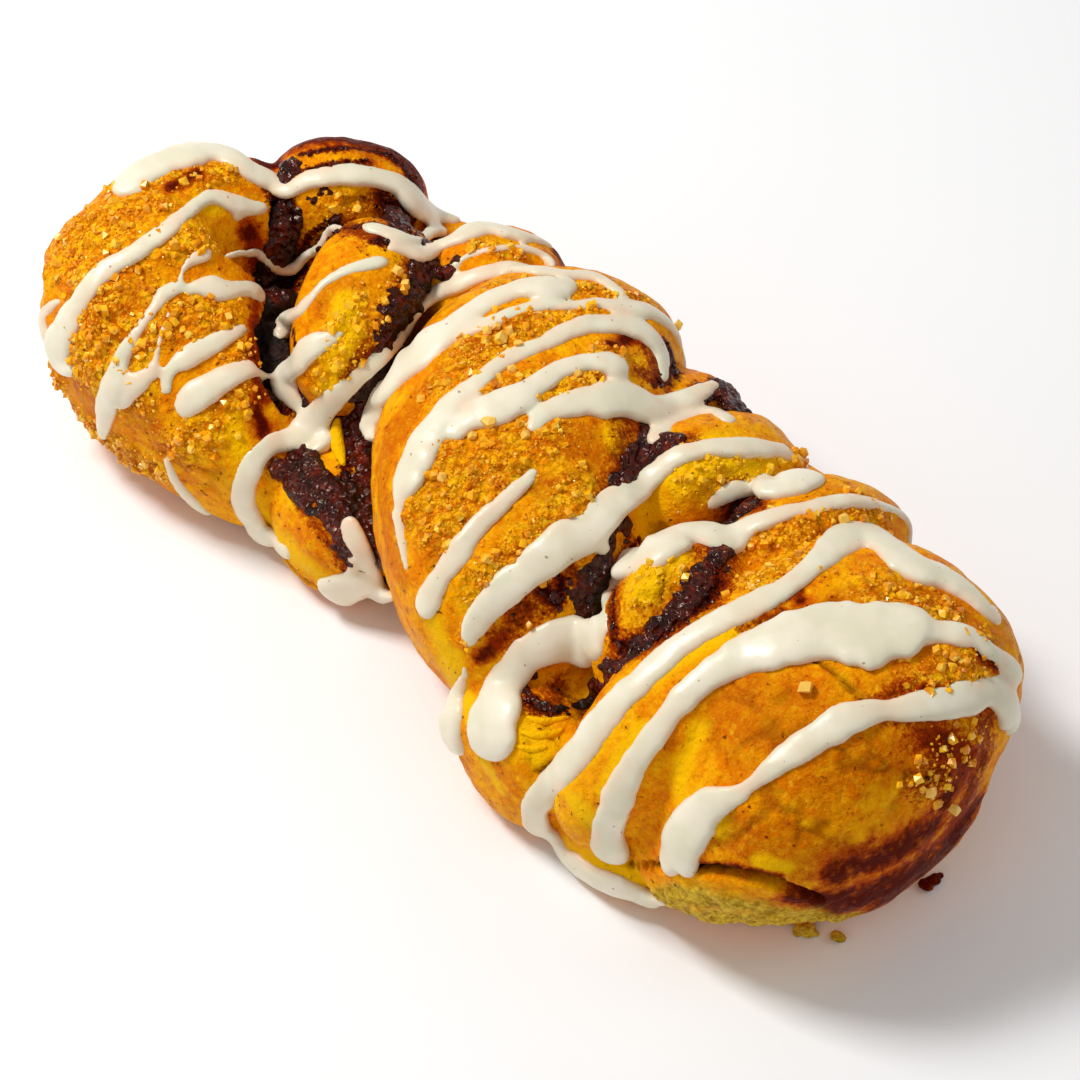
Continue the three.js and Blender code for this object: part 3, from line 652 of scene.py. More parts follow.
# icing
icing = {"voxel": 0.5, "smoothing": 3, "rise": 0.21, "root": 1.6, "swell": 0.1, "swellSize": 3,
         "lowest": 0.1, "sheer": (1.1, 0.25)}    # depths in mm between which the icing turns sheer
bothPoints = np.vstack([doughPoints, fillingPoints])
bothSkin = Skin(bothPoints, np.vstack([doughFaces, fillingFaces + len(doughPoints)]))
drizzles = [                         # places on the photo with widths, how stiffly the icing hangs over
                                     # dips, and any tail of x, angle and mm
    ([(112, 194, 26), (143, 176, 33), (179, 159, 33), (212, 150, 26), (230, 158, 22), (250, 171, 20),
      (270, 180, 22), (286, 192, 18), (306, 179, 20), (344, 174, 24), (370, 176, 22), (398, 183, 18),
      (410, 196, 22), (424, 208, 24), (445, 210, 20), (465, 217, 14)], 12),
    ([(270, 207, 10), (242, 206, 20), (212, 195, 16), (189, 210, 18), (163, 233, 20), (133, 253, 20),
      (102, 273, 22), (84, 296, 24), (70, 322, 30), (60, 344, 36), (64, 362, 26), (76, 370, 12)], 12),
    ([(62, 300, 6), (50, 306, 12), (42, 325, 14), (48, 350, 16)], 6),
    ([(236, 208, 24), (245, 218, 14)], 6),
    ([(213, 250, 12), (200, 256, 16), (186, 263, 10), (181, 275, 6), (178, 287, 16), (166, 292, 20),
      (155, 306, 14), (145, 321, 13), (134, 337, 14), (124, 351, 16), (118, 367, 20), (112, 386, 26),
      (107, 404, 26), (103, 424, 20), (101, 440, 10)], 12),
    ([(170, 309, 5), (164, 325, 7), (159, 341, 8), (156, 357, 9), (151, 371, 16), (138, 383, 26),
      (124, 392, 28), (114, 404, 24)], 5),
    ([(182, 294, 6), (190, 289, 14), (202, 286, 22), (216, 289, 28), (230, 290, 22), (245, 287, 16),
      (256, 292, 18), (261, 304, 12)], 6),
    ([(222, 258, 6), (240, 257, 8), (254, 251, 10), (266, 260, 10), (278, 270, 13), (291, 272, 13),
      (305, 260, 10), (320, 245, 8), (334, 233, 6), (344, 226, 4)], 60),
    ([(248, 325, 10), (236, 332, 16), (220, 340, 20), (202, 350, 24), (186, 358, 26), (172, 366, 16),
      (166, 380, 13), (166, 396, 14)], 8),
    ([(264, 376, 8), (254, 368, 16), (238, 371, 26), (217, 383, 32), (200, 393, 36), (187, 405, 30),
      (180, 418, 16)], 8),
    ([(390, 260, 8), (375, 262, 14), (353, 268, 12), (330, 278, 10), (316, 292, 10), (300, 310, 14),
      (285, 326, 20), (278, 340, 12)], 8),
    ([(344, 330, 8), (330, 340, 18), (310, 348, 26), (294, 366, 22), (284, 384, 30), (295, 402, 18),
      (304, 410, 8)], 10),
    ([(404, 330, 10), (396, 345, 14), (379, 358, 18), (358, 374, 24), (338, 393, 26), (322, 411, 30),
      (307, 430, 30), (290, 440, 26), (272, 444, 22), (258, 456, 24), (248, 475, 28), (242, 495, 28),
      (248, 515, 24), (262, 532, 18), (280, 548, 14), (292, 556, 10)], 40),
    ([(318, 440, 40), (316, 452, 34)], 10),
    ([(360, 226, 6), (376, 229, 14), (398, 237, 14), (415, 240, 12), (430, 236, 12), (448, 230, 12)], 16),
    ([(384, 247, 6), (398, 248, 9), (412, 252, 15), (424, 256, 18), (440, 246, 13), (462, 236, 16),
      (486, 229, 20), (512, 234, 16), (536, 239, 10), (556, 245, 6)], 16),
    ([(448, 268, 6), (462, 259, 7), (480, 251, 7), (508, 247, 7), (530, 249, 7), (548, 258, 8),
      (554, 268, 5)], 8),
    ([(402, 345, 6), (412, 322, 8), (424, 306, 10), (434, 296, 16), (452, 285, 19), (475, 276, 20),
      (503, 271, 18), (535, 271, 15), (567, 275, 13), (592, 277, 15), (608, 284, 12), (628, 300, 8)], 10),
    ([(374, 440, 12), (374, 424, 26), (384, 400, 32), (402, 372, 32), (428, 350, 34), (455, 328, 28),
      (480, 308, 22), (508, 293, 20), (534, 286, 20), (558, 290, 26), (572, 280, 20)], 10),
    ([(444, 344, 8), (466, 332, 14), (493, 322, 14), (516, 311, 12), (544, 305, 12), (569, 306, 10),
      (595, 303, 12), (620, 306, 14), (644, 310, 16), (661, 318, 14), (676, 330, 12)], 10, (3, 60, 2),
      (7, 70, 2.5)),
    ([(402, 510, 12), (404, 490, 22), (416, 460, 32), (434, 430, 32), (452, 408, 30), (470, 392, 24),
      (490, 371, 18), (513, 356, 18), (539, 345, 18), (559, 335, 20), (585, 325, 20), (615, 325, 18),
      (641, 330, 20), (656, 345, 18), (662, 363, 14), (664, 384, 8)], 10),
    ([(628, 376, 20), (612, 364, 22), (590, 362, 18), (562, 368, 20), (540, 384, 24), (518, 398, 30),
      (492, 410, 34), (470, 420, 26), (448, 440, 20)], 10),
    ([(396, 506, 12), (400, 530, 10), (404, 552, 8), (407, 574, 5)], 6),
    ([(529, 432, 8), (540, 418, 22), (556, 408, 26), (580, 403, 26), (602, 402, 36), (620, 398, 36),
      (640, 404, 30), (660, 408, 26), (680, 400, 20), (700, 392, 18), (718, 382, 12)], 16),
    ([(620, 398, 34), (628, 380, 24)], 6),
    ([(537, 468, 8), (524, 482, 14), (505, 500, 18), (483, 522, 22), (462, 548, 24), (444, 572, 24),
      (430, 596, 26), (422, 618, 20)], 8),
    ([(466, 648, 10), (472, 630, 24), (488, 606, 32), (510, 586, 34), (536, 564, 36), (562, 546, 42),
      (588, 530, 44), (602, 514, 40), (618, 500, 30), (638, 490, 26), (655, 474, 22), (674, 458, 20),
      (700, 449, 16), (725, 447, 16), (751, 447, 18), (779, 450, 14)], 16, (30, 52, 2), (33, 62, 2)),
    ([(600, 545, 24), (608, 555, 12)], 8),
    ([(650, 446, 10), (660, 432, 18), (678, 421, 18), (700, 414, 16), (718, 413, 14), (734, 424, 10)], 8),
    ([(706, 510, 10), (718, 499, 18), (738, 488, 20), (759, 486, 24), (779, 490, 28), (800, 482, 28),
      (822, 476, 18)], 10, (40, 52, 2.5)),
    ([(606, 612, 6), (608, 590, 14), (620, 575, 26), (642, 560, 34), (668, 544, 30), (694, 534, 24),
      (716, 538, 26), (732, 540, 26), (750, 526, 18), (777, 515, 14), (802, 509, 14), (828, 504, 14),
      (848, 500, 14), (872, 502, 10)], 10, (46, 54, 2), (49, 62, 2.5)),
    ([(492, 762, 40), (490, 742, 50), (496, 706, 44), (512, 672, 38), (530, 652, 40), (560, 640, 46),
      (590, 640, 46), (606, 636, 36)], 12),
    ([(466, 664, 5), (460, 690, 15), (454, 718, 26), (453, 742, 30), (460, 756, 24)], 8),
    ([(540, 832, 12), (552, 846, 20), (575, 864, 20), (612, 884, 22), (646, 897, 16), (668, 904, 5)], 8),
    ([(540, 838, 20), (534, 812, 28), (546, 792, 32), (568, 768, 30), (588, 742, 28), (610, 714, 28),
      (634, 688, 26), (661, 662, 26), (692, 638, 24), (726, 619, 22), (760, 602, 24), (788, 585, 22),
      (815, 564, 22), (843, 542, 30), (866, 535, 28), (886, 546, 26), (912, 567, 28), (946, 581, 26),
      (977, 602, 18), (1001, 626, 12)], 10, (67, 36, 2), (71, 33, 1.5)),
    ([(612, 862, 34), (608, 830, 34), (620, 791, 30), (642, 752, 26), (668, 716, 26), (698, 684, 28),
      (733, 662, 36), (774, 646, 42), (812, 638, 50), (850, 636, 56), (886, 634, 56), (915, 628, 44),
      (935, 632, 22), (955, 634, 22), (974, 640, 20), (994, 654, 14), (1012, 668, 18), (1018, 684, 20)],
      10),
    ([(678, 876, 38), (682, 850, 38), (694, 822, 42), (712, 804, 36), (736, 796, 20), (752, 784, 14),
      (774, 766, 22), (809, 743, 28), (843, 722, 30), (868, 712, 26), (886, 710, 18), (908, 708, 26),
      (936, 704, 32), (966, 697, 34), (988, 690, 30), (1004, 700, 26), (1010, 720, 24), (1006, 736, 14)],
      10),
    ([(165, 455, 8), (172, 475, 10), (184, 492, 12), (200, 508, 14), (212, 514, 8)], 6),
    ([(320, 596, 22), (340, 590, 32), (360, 584, 30), (378, 592, 16), (392, 600, 8)], 8),
    ([(346, 515, 16), (352, 535, 24), (362, 552, 20), (372, 572, 14), (384, 596, 10)], 6),
    ([(340, 590, 24), (352, 570, 10), (348, 556, 6)], 6),
    ([(606, 636, 8), (607, 618, 4), (607, 600, 5)], 8),
    ([(711, 871, 8), (716, 871, 8)], 2),
    ([(674, 512, 8), (682, 511, 9)], 2),
]
icingParts = [band(bothSkin, photo, tail, icing["rise"], icing["root"], hang=hang)
              for photo, hang, *tail in drizzles]
icingPoints, icingFaces = welded(icingParts, icing["voxel"], icing["smoothing"])
icingNormals = normalsOf(icingPoints, icingFaces)
swell = icing["swell"] * roughNoise(icingPoints, icing["swellSize"], 2, 41)
icingPoints = icingPoints + icingNormals * swell[:, None]
icingPoints[:, 2] = np.maximum(icingPoints[:, 2], icing["lowest"])
icingPiece = objectOf("icing", icingPoints, icingFaces)
# thin places get a warm sheer tint and grey-green painted shade
depths = np.array([bothSkin.tree.find_nearest(Vector(point))[3] for point in icingPoints])
paintOn(icingPiece, "thinAndShade", smoothStep(*icing["sheer"], depths))
print("icing drizzled:", len(icingPoints), "points")


# coarse sugar and cinnamon granules, scattered by masks
scatters = {                         # density for each square mm; rarity is how rare the large ones are
    "coarse_sugar": {
        "mask": "sugar", "density": 0.85, "size": 1.5, "least": 0.22, "most": 1.0, "rarity": 4,
        "seed": 5,
        "smooth": False,             # a worn block with uneven corners
        "corners": [(-0.5, -0.4, -0.3), (0.5, -0.35, -0.36), (0.42, 0.4, -0.3), (-0.4, 0.45, -0.38),
                    (-0.38, -0.42, 0.34), (0.3, -0.45, 0.3), (0.52, 0.1, 0.28), (0.25, 0.44, 0.36),
                    (-0.46, 0.3, 0.26), (0.05, 0.02, 0.46)],
    },
    "cinnamon_granules": {
        "mask": "granules", "density": 1.3, "size": 1.3, "least": 0.25, "most": 1.0, "rarity": 2.5,
        "seed": 9,
        "smooth": True,              # a rounder lump
        "corners": [(0.5, 0, 0.1), (-0.45, 0.1, 0), (0, 0.5, -0.1), (0.1, -0.42, 0), (0, 0.1, 0.4),
                    (0.1, 0, -0.4), (0.3, 0.3, 0.28), (-0.3, -0.3, 0.25), (0.3, -0.3, -0.2),
                    (-0.3, 0.3, -0.25)],
    },
}
sunkBy = 0.25                        # how far a large crystal's centre stands off, in its own sizes
largeCrystals = [                    # x and y on the photo, size in mm
    (489, 424, 2.0), (473, 437, 1.2), (488, 334, 1.5), (500, 340, 1.6), (510, 332, 1.4), (497, 328, 1.2),
    (518, 345, 1.2), (806, 689, 2.0), (930, 790, 1.5), (952, 808, 1.6), (676, 326, 1.6), (396, 272, 1.5),
    (404, 284, 1.3), (443, 478, 1.4), (578, 376, 1.2), (841, 518, 1.5), (529, 624, 0.9), (512, 372, 1.3),
    (561, 410, 1.2), (526, 436, 1.2),
]


def stoneOf(name):                   # a small closed stone round its corners
    shape = bmesh.new()
    for corner in scatters[name]["corners"]:
        shape.verts.new(Vector(corner) * mm)
    bmesh.ops.convex_hull(shape, input=shape.verts)
    bmesh.ops.recalc_face_normals(shape, faces=shape.faces)
    mesh = bpy.data.meshes.new("stone")
    shape.to_mesh(mesh)
    shape.free()
    if scatters[name]["smooth"]:
        mesh.shade_smooth()
    return inScene("stone", mesh)


def scatterTree(stone, material, mask, sizes):
    tree = bpy.data.node_groups.new("scatterStones", "GeometryNodeTree")
    tree.interface.new_socket("Dough", in_out="INPUT", socket_type="NodeSocketGeometry")
    for name in sizes:
        kind = "NodeSocketInt" if name == "Seed" else "NodeSocketFloat"
        tree.interface.new_socket(name, in_out="INPUT", socket_type=kind)
    tree.interface.new_socket("Stones", in_out="OUTPUT", socket_type="NodeSocketGeometry")
    inside = tree.nodes.new("NodeGroupInput")
    outside = tree.nodes.new("NodeGroupOutput")

    def node(kind, settings=None, **links):
        made = tree.nodes.new(kind)
        for name, value in (settings or {}).items():
            setattr(made, name, value)
        for name, value in links.items():
            socket = made.inputs[name.replace("_", " ")]
            if isinstance(value, bpy.types.NodeSocket):
                tree.links.new(value, socket)
            else:
                socket.default_value = value
        return made

    def maths(operation, first, second):
        made = node("ShaderNodeMath", {"operation": operation})
        tree.links.new(first, made.inputs[0])
        tree.links.new(second, made.inputs[1])
        return made.outputs[0]

    level = node("GeometryNodeInputNamedAttribute", {"data_type": "FLOAT"}, Name=mask)
    spread = node("GeometryNodeDistributePointsOnFaces", Mesh=inside.outputs["Dough"],
                  Density=maths("MULTIPLY", level.outputs["Attribute"], inside.outputs["Density"]),
                  Seed=inside.outputs["Seed"])
    turned = node("FunctionNodeRandomValue", {"data_type": "FLOAT_VECTOR"}, Seed=inside.outputs["Seed"])
    turned.inputs[0].default_value = (0, 0, 0)
    turned.inputs[1].default_value = (2 * math.pi,) * 3
    drawn = node("FunctionNodeRandomValue", {"data_type": "FLOAT"}, Seed=inside.outputs["Seed"])
    rare = maths("POWER", drawn.outputs[1], inside.outputs["Rarity"])    # most stones are small
    ranged = node("ShaderNodeMapRange", Value=rare, To_Min=inside.outputs["Least"],
                  To_Max=inside.outputs["Most"])
    sized = maths("MULTIPLY", ranged.outputs[0], inside.outputs["Size"])
    block = node("GeometryNodeObjectInfo", Object=stone)
    placed = node("GeometryNodeInstanceOnPoints", Points=spread.outputs["Points"],
                  Instance=block.outputs["Geometry"], Rotation=turned.outputs[0], Scale=sized)
    real = node("GeometryNodeRealizeInstances", Geometry=placed.outputs["Instances"])
    painted = node("GeometryNodeSetMaterial", Geometry=real.outputs["Geometry"], Material=material)
    tree.links.new(painted.outputs["Geometry"], outside.inputs["Stones"])
    return tree


# materials
class Value:                         # a node's output, so that sums on it add their Math nodes
    def __init__(self, paint, socket):
        self.paint, self.socket = paint, socket

    def maths(self, operation, *others):
        return self.paint.maths(operation, self, *others)

    def __add__(self, other):
        return self.maths("ADD", other)

    def __mul__(self, other):
        return self.maths("MULTIPLY", other)

    def __sub__(self, other):
        return self.maths("SUBTRACT", other)

    def __rsub__(self, other):
        return self.paint.maths("SUBTRACT", other, self)

    def within(self, low, high):     # 0 to 1 as the value goes from low to high
        return self.paint.node("ShaderNodeMapRange", {"interpolation_type": "SMOOTHSTEP"},
                               {"Value": self, "From Min": low, "From Max": high})

    __radd__ = __add__
    __rmul__ = __mul__


class Paint:                         # one material and its nodes
    def __init__(self, name):
        self.material = bpy.data.materials.new(name)
        self.material.use_nodes = True
        self.tree = self.material.node_tree
        self.tree.nodes.clear()
        self.place = self.node("ShaderNodeTexCoord", output="Object")

    def node(self, kind, settings=None, inputs=None, output=0):
        made = self.tree.nodes.new(kind)
        for name, value in (settings or {}).items():
            setattr(made, name, value)
        for name, value in (inputs or {}).items():
            if isinstance(value, Value):
                self.tree.links.new(value.socket, made.inputs[name])
            else:
                made.inputs[name].default_value = value
        return Value(self, made.outputs[output])

    def maths(self, operation, *values):
        return self.node("ShaderNodeMath", {"operation": operation}, dict(enumerate(values)))

    def mask(self, name):
        return self.node("ShaderNodeAttribute", {"attribute_name": name}, output="Fac")

    def noise(self, size, detail=2.0, roughness=0.5):                 # size of a patch in mm
        return self.node("ShaderNodeTexNoise", None, {"Vector": self.place, "Scale": 1 / (size * mm),
                                                      "Detail": detail, "Roughness": roughness}, "Fac")

    def cells(self, size, output="Distance"):                         # uneven grains
        bend = self.node("ShaderNodeTexNoise", None,
                         {"Vector": self.place, "Scale": 0.6 / (size * mm)}, "Color")
        push = self.node("ShaderNodeVectorMath", {"operation": "MULTIPLY_ADD"},
                         {0: bend, 1: (0.9 * size * mm,) * 3, 2: self.place})
        return self.node("ShaderNodeTexVoronoi", None, {"Vector": push, "Scale": 1 / (size * mm)}, output)

    def mix(self, factor, first, second):
        return self.node("ShaderNodeMix", {"data_type": "RGBA", "blend_type": "MIX"},
                         {"Factor": factor, 6: first, 7: second}, 2)

    def layered(self, base, *layers):                                 # each tint goes on by its cover
        for cover, tint in layers:
            base = self.mix(cover, base, tint if isinstance(tint, Value) else colour(*tint))
        return base

    def bump(self, height, depth, strength=1.0, under=None):          # depth in mm
        inputs = {"Height": height, "Distance": depth * mm, "Strength": strength}
        if under:
            inputs["Normal"] = under
        return self.node("ShaderNodeBump", None, inputs)

    def finish(self, **inputs):
        named = {name.replace("_", " "): value for name, value in inputs.items()}
        shader = self.node("ShaderNodeBsdfPrincipled", None, named)
        result = self.tree.nodes.new("ShaderNodeOutputMaterial")
        self.tree.links.new(shader.socket, result.inputs["Surface"])
        return self.material


def colour(r, g, b):                 # from the 0 to 255 of a picture to linear light
    channel = lambda c: c / 255 / 12.92 if c < 10 else ((c / 255 + 0.055) / 1.055) ** 2.4
    return (channel(r), channel(g), channel(b), 1)


def crustMaterial():
    paint = Paint("bakedCrust")
    stain, rust, toast, pale = (paint.mask(name) for name in ("stain", "rust", "toast", "pale"))
    sugary, torn, hollow, deep = (paint.mask(name) for name in ("sugar", "torn", "hollow", "deep"))
    brown = paint.mask("brown")
    patches, mottle = paint.noise(7, 4, 0.6), paint.noise(2.6, 4, 0.65)
    fine, grit, speck = paint.noise(0.9, 3, 0.7), paint.noise(0.4, 2, 0.6), paint.noise(0.9, 1, 0.4)
    pebbles, tone = paint.cells(1.2), paint.cells(1.2, output="Color")
    gritty = 0.24 + sugary * 0.76
    finer = gritty * 0.7 + 0.3
    toasted, paled = toast + (mottle - 0.5) * 0.8, pale + (mottle - 0.5) * 0.9
    burnt = brown + (mottle - 0.5) * 0.9 + (fine - 0.5) * 0.5
    grained = (mottle - 0.5) * 0.8 + (fine - 0.5) * 1.3 + (grit - 0.5) * 0.9
    rusted, soaked = rust + grained, stain + grained
    crumb = paint.mix(paint.noise(1.1, 4, 0.7).within(0.3, 0.7), colour(236, 196, 62), colour(150, 106, 8))
    base = paint.layered(
        paint.mix(patches.within(0.38, 0.6), colour(250, 168, 3), colour(236, 130, 1)),
        (mottle.within(0.52, 0.7) * 0.75, (206, 96, 1)),              # baked patches
        (mottle.within(0.48, 0.3) * 0.7, (255, 190, 8)),
        (toasted.within(0.15, 0.85) * 0.75, (204, 100, 1)),
        (gritty * tone.within(0.5, 0.85) * 0.6, (255, 200, 16)),      # grains of sugar in the crust
        (gritty * tone.within(0.42, 0.2) * 0.5, (196, 90, 1)),
        (gritty * pebbles.within(0.4, 0.65) * 0.5, (156, 60, 1)),
        (finer * fine.within(0.53, 0.7) * 0.6, (170, 70, 1)),
        (finer * fine.within(0.46, 0.3) * 0.55, (255, 210, 40)),
        (gritty * grit.within(0.54, 0.68) * 0.6, (176, 74, 1)),
        (gritty * grit.within(0.45, 0.32) * 0.6, (255, 206, 60)),
        (paled.within(0.25, 1.0) * 0.8, (252, 196, 6)),               # pale, burnt and torn places
        (burnt.within(0.2, 0.8) * 0.85, (176, 46, 1)),
        (burnt.within(0.6, 1.0) * 0.95, (76, 6, 2)),
        (torn, crumb),
        (rusted.within(0.35, 0.95) * 0.85, (158, 48, 2)),             # cinnamon and specks, and painted shade in hollows and crevices
        (rusted.within(0.75, 1.3) * 0.8, (76, 14, 4)),
        (hollow * 0.75, (104, 38, 2)),
        (speck.within(0.72, 0.77) * 0.8, (80, 28, 2)),
        (deep.within(0.5, 0.9) * 0.8, (70, 16, 2)),
        (soaked.within(0.15, 0.75), (126, 36, 2)),
        (soaked.within(0.5, 1.1), (44, 7, 4)))
    normal = paint.bump(pebbles * (sugary * 0.8 + 0.2), 0.55, 0.8)
    normal = paint.bump(fine, 0.45, 0.9, normal)
    rough = 0.42 - soaked.within(0.4, 0.9) * 0.16 + (tone - 0.5) * 0.4
    return paint.finish(Base_Color=base, Roughness=rough, Normal=normal, Specular_IOR_Level=0.03,
                        Specular_Tint=(1.0, 0.8, 0.4, 1))


def fillingMaterial():
    paint = Paint("cinnamonFilling")
    lumps, grain, deep = paint.noise(2.4, 3, 0.6), paint.noise(0.6, 3, 0.7), paint.mask("deep")
    base = paint.layered(
        paint.mix(lumps.within(0.35, 0.65), colour(34, 4, 6), colour(78, 14, 8)),
        (lumps.within(0.56, 0.72) * 0.7, (124, 36, 6)),
        (grain.within(0.58, 0.74) * 0.7, (160, 68, 10)),
        (deep.within(0.25, 0.6) * 0.9, (6, 1, 1)))                    # in the shade between the folds
    normal = paint.bump(grain, 0.14, 0.8, paint.bump(paint.cells(1.1), 0.7))
    rough = 0.14 + deep.within(0.3, 0.7) * 0.6 + (grain - 0.5) * 0.3
    return paint.finish(Base_Color=base, Roughness=rough, Normal=normal, Specular_IOR_Level=0.4,
                        Specular_Tint=(1.0, 0.8, 0.66, 1))


def icingMaterial():
    paint = Paint("sugarIcing")
    cloud, speck, thinAndShade = paint.noise(6, 2, 0.5), paint.noise(0.85, 1, 0.4), paint.mask("thinAndShade")
    base = paint.layered(
        paint.mix(cloud.within(0.35, 0.65), colour(238, 228, 205), colour(227, 219, 191)),
        (thinAndShade * cloud.within(0.3, 0.55) * 0.8, (236, 206, 176)),      # sheer edges, with grey-green painted shade
        (thinAndShade * cloud.within(0.6, 0.4) * 0.6, (214, 214, 182)),
        (speck.within(0.765, 0.8) * 0.75, (140, 118, 84)))
    return paint.finish(Base_Color=base, Roughness=0.34 + (cloud - 0.5) * 0.25,
                        Normal=paint.bump(paint.noise(1.6, 2, 0.5), 0.1, 0.5), Specular_IOR_Level=0.4,
                        Subsurface_Weight=0.15, Subsurface_Scale=0.001, Subsurface_Radius=(1.0, 0.9, 0.6))


def sugarMaterial():
    paint = Paint("coarseSugar")
    tint, tone = paint.noise(2.2, 2, 0.6), paint.cells(1.1, output="Color")
    base = paint.layered(
        paint.mix(tint.within(0.35, 0.65), colour(252, 188, 20), colour(232, 140, 4)),
        (tone.within(0.28, 0.14) * 0.6, (190, 92, 2)),
        (tone.within(0.7, 0.86) * 0.75, (255, 218, 90)),
        (paint.mask("pale") * 0.8, (252, 200, 26)),
        (paint.mask("clear") * 0.75, (252, 206, 96)))                 # the largest crystals
    return paint.finish(Base_Color=base, Roughness=0.26 + (tone - 0.5) * 0.24, Specular_IOR_Level=0.55,
                        Specular_Tint=(1.0, 0.9, 0.6, 1))


crust = crustMaterial()
doughPiece.data.materials.append(crust)
fillingPiece.data.materials.append(fillingMaterial())
icingPiece.data.materials.append(icingMaterial())
print("materials mixed")


def scattered(name, stone, material):
    wanted = scatters[name]
    inputs = {name.capitalize(): wanted[name]
              for name in ("density", "size", "least", "most", "rarity", "seed")}
    inputs["Density"] /= mm ** 2
    tree = scatterTree(stone, material, wanted["mask"], inputs)
    base = inScene("scatterBase", doughPiece.data)
    scatter = base.modifiers.new("scatter", "NODES")
    scatter.node_group = tree
    sockets = {item.name: item.identifier for item in tree.interface.items_tree if item.in_out == "INPUT"}
    for key, value in inputs.items():
        scatter[sockets[key]] = value
    mesh = bpy.data.meshes.new_from_object(base.evaluated_get(bpy.context.evaluated_depsgraph_get()))
    mesh.name = name
    bpy.data.objects.remove(base)
    return inScene(name, mesh)


def placeCrystals(piece, stone):     # the largest crystals lie where the photo shows them
    shape = bmesh.new()
    shape.from_mesh(piece.data)
    before, last = len(shape.verts), len(piece.data.materials) - 1
    for seed, (x, y, size) in enumerate(largeCrystals):
        spot, normal = bothSkin.nearPhoto(x, y)
        turned = Euler((seed * 1.3, seed * 2.1, seed * 0.7)).to_matrix().to_4x4()
        at = Matrix.Translation((spot + normal * size * sunkBy) * mm) @ turned @ Matrix.Scale(size, 4)
        corners = [shape.verts.new(at @ corner.co) for corner in stone.data.vertices]
        for face in stone.data.polygons:
            shape.faces.new([corners[i] for i in face.vertices]).material_index = last
    shape.to_mesh(piece.data)
    shape.free()
    paintOn(piece, "clear", np.arange(len(piece.data.vertices)) >= before)


sugarStone, granuleStone = stoneOf("coarse_sugar"), stoneOf("cinnamon_granules")
sugarPiece = scattered("coarse_sugar", sugarStone, sugarMaterial())
placeCrystals(sugarPiece, sugarStone)
granulePiece = scattered("cinnamon_granules", granuleStone, fillingPiece.data.materials[0])
for stone in (sugarStone, granuleStone):
    bpy.data.objects.remove(stone)
print("scattered:", len(sugarPiece.data.polygons), "faces of sugar,",
      len(granulePiece.data.polygons), "of granules")


# scraps: crumbs at the torn foot, a sliver beside the far island and flakes of torn layers
scraps = {
    "crumbs": [                      # x and y on the photo, size in mm
        (806, 929, 1.15), (837, 936, 0.9), (797, 933, 0.6), (816, 934, 0.5), (690, 911, 0.7),
        (752, 922, 0.7), (726, 917, 0.6), (925, 884, 0.9), (934, 880, 0.8), (941, 875, 0.5),
    ],
    "flakes": [                      # x, y and width on the photo
        [(338, 416, 6), (337, 434, 15), (339, 450, 14), (344, 468, 5)],
        [(524, 716, 4), (540, 722, 7), (558, 720, 6), (572, 716, 3)],
        [(516, 730, 3), (536, 736, 8), (556, 733, 7), (566, 728, 3)],
        [(512, 744, 3), (532, 750, 7), (550, 746, 4)],
    ],
    "sides": 14, "bands": 8, "steepest": 1.3,
    "shape": (1.3, 1, 0.8), "uneven": (0.45, 0.7), "standing": 0.7,
    "rise": 0.5, "root": 0.6, "hang": 3, "ragged": 0.2, "voxel": 0.35,
    "footHeight": 8, "endPlace": 76,     # crumbs below and short of these are torn, past them browned
}


def onFloor(x, y, height):           # the place seen there on a level plane
    ray = rayThrough(x, y)
    return eye + ray * (eye[2] - height) / -ray[2]


def crumbAt(x, y, size, seed):
    turns, tilts = np.meshgrid(np.linspace(0, 2 * math.pi, scraps["sides"], endpoint=False),
                               np.linspace(-scraps["steepest"], scraps["steepest"], scraps["bands"]))
    long, wide, high = scraps["shape"]
    lump = np.stack([np.cos(turns) * np.cos(tilts) * long, np.sin(turns) * np.cos(tilts) * wide,
                     np.sin(tilts) * high], axis=-1)
    most, patch = scraps["uneven"]
    swell = 1 + most * noiseAt(lump.reshape(-1, 3) + seed * 9, patch, 51)
    lump = lump * swell.reshape(*turns.shape, 1) * size + onFloor(x, y, size * scraps["standing"])
    return rings(lump[0].mean(axis=0), list(lump), lump[-1].mean(axis=0))


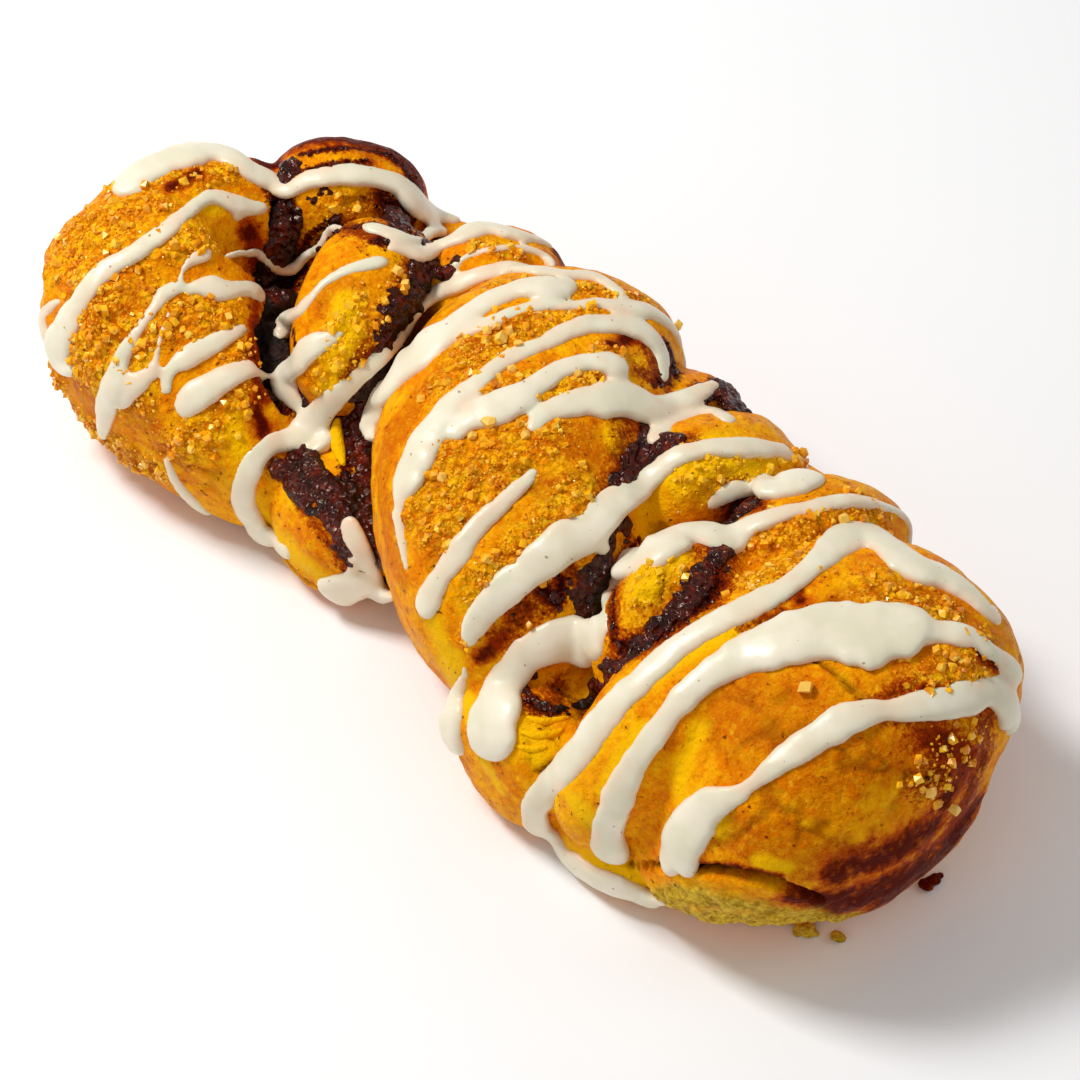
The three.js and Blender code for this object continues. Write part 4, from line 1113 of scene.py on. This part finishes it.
scrapParts = [crumbAt(*crumb, seed) for seed, crumb in enumerate(scraps["crumbs"])]
scrapParts += [band(bothSkin, flake, [], scraps["rise"], scraps["root"], scraps["hang"], scraps["ragged"])
               for flake in scraps["flakes"]]
scrapPoints, scrapFaces = welded(scrapParts, scraps["voxel"], 1)
scrapPoints[:, 2] = np.maximum(scrapPoints[:, 2], 0)
scrapPiece = objectOf("dough_scraps", scrapPoints, scrapFaces)
onFoot = scrapPoints[:, 2] < scraps["footHeight"]
atEnd = scrapPoints[:, 0] > scraps["endPlace"]
paintOn(scrapPiece, "torn", onFoot & ~atEnd)
paintOn(scrapPiece, "brown", atEnd)
paintOn(scrapPiece, "pale", ~onFoot)
scrapPiece.data.materials.append(crust)
print("scraps dropped")


# floor and light
studio = {
    "floorSize": 3,
    "sky": 0.38,
    "lamps": {                       # place, size and watts
        "key": ((-0.32, -0.12, 0.52), 0.16, 2.95),
        "front": ((0.1, -0.55, 0.4), 0.4, 0.3),
        "rim": ((0.45, 0.4, 0.45), 0.3, 0.4),
    },
}


def floorMaterial():
    paint = Paint("paleFloor")
    return paint.finish(Base_Color=colour(250, 250, 250), Roughness=0.8, Specular_IOR_Level=0.1)


def makeStudio():
    half = studio["floorSize"] / 2 / mm
    corners = np.array([(-half, -half, 0), (half, -half, 0), (half, half, 0), (-half, half, 0)])
    floor = objectOf("floor", corners, [[0, 1, 2, 3]])
    floor.data.materials.append(floorMaterial())
    world = bpy.data.worlds.new("studio")
    world.use_nodes = True
    world.node_tree.nodes["Background"].inputs["Color"].default_value = (1, 1, 1, 1)
    world.node_tree.nodes["Background"].inputs["Strength"].default_value = studio["sky"]
    bpy.context.scene.world = world
    for name, (place, size, watts) in studio["lamps"].items():
        lamp = bpy.data.lights.new(name, "AREA")
        lamp.size, lamp.energy = size, watts
        holder = inScene(name, lamp)
        holder.location = place
        holder.rotation_mode = "QUATERNION"
        holder.rotation_quaternion = (-holder.location).to_track_quat("-Z", "Y")
    bpy.context.scene.view_settings.view_transform = "Standard"


makeStudio()
print("studio lit")


# what each piece stands for
pieces = [(doughPiece, "dough", ["dough"]), (fillingPiece, "cinnamon_filling", ["cinnamon_filling"]),
          (icingPiece, "icing", ["dough"]), (sugarPiece, "coarse_sugar", ["dough"]),
          (granulePiece, "cinnamon_filling", ["cinnamon_filling"]), (scrapPiece, "dough", ["dough"])]
for piece, slot, nodes in pieces:
    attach(piece, "root")
    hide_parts(*nodes)
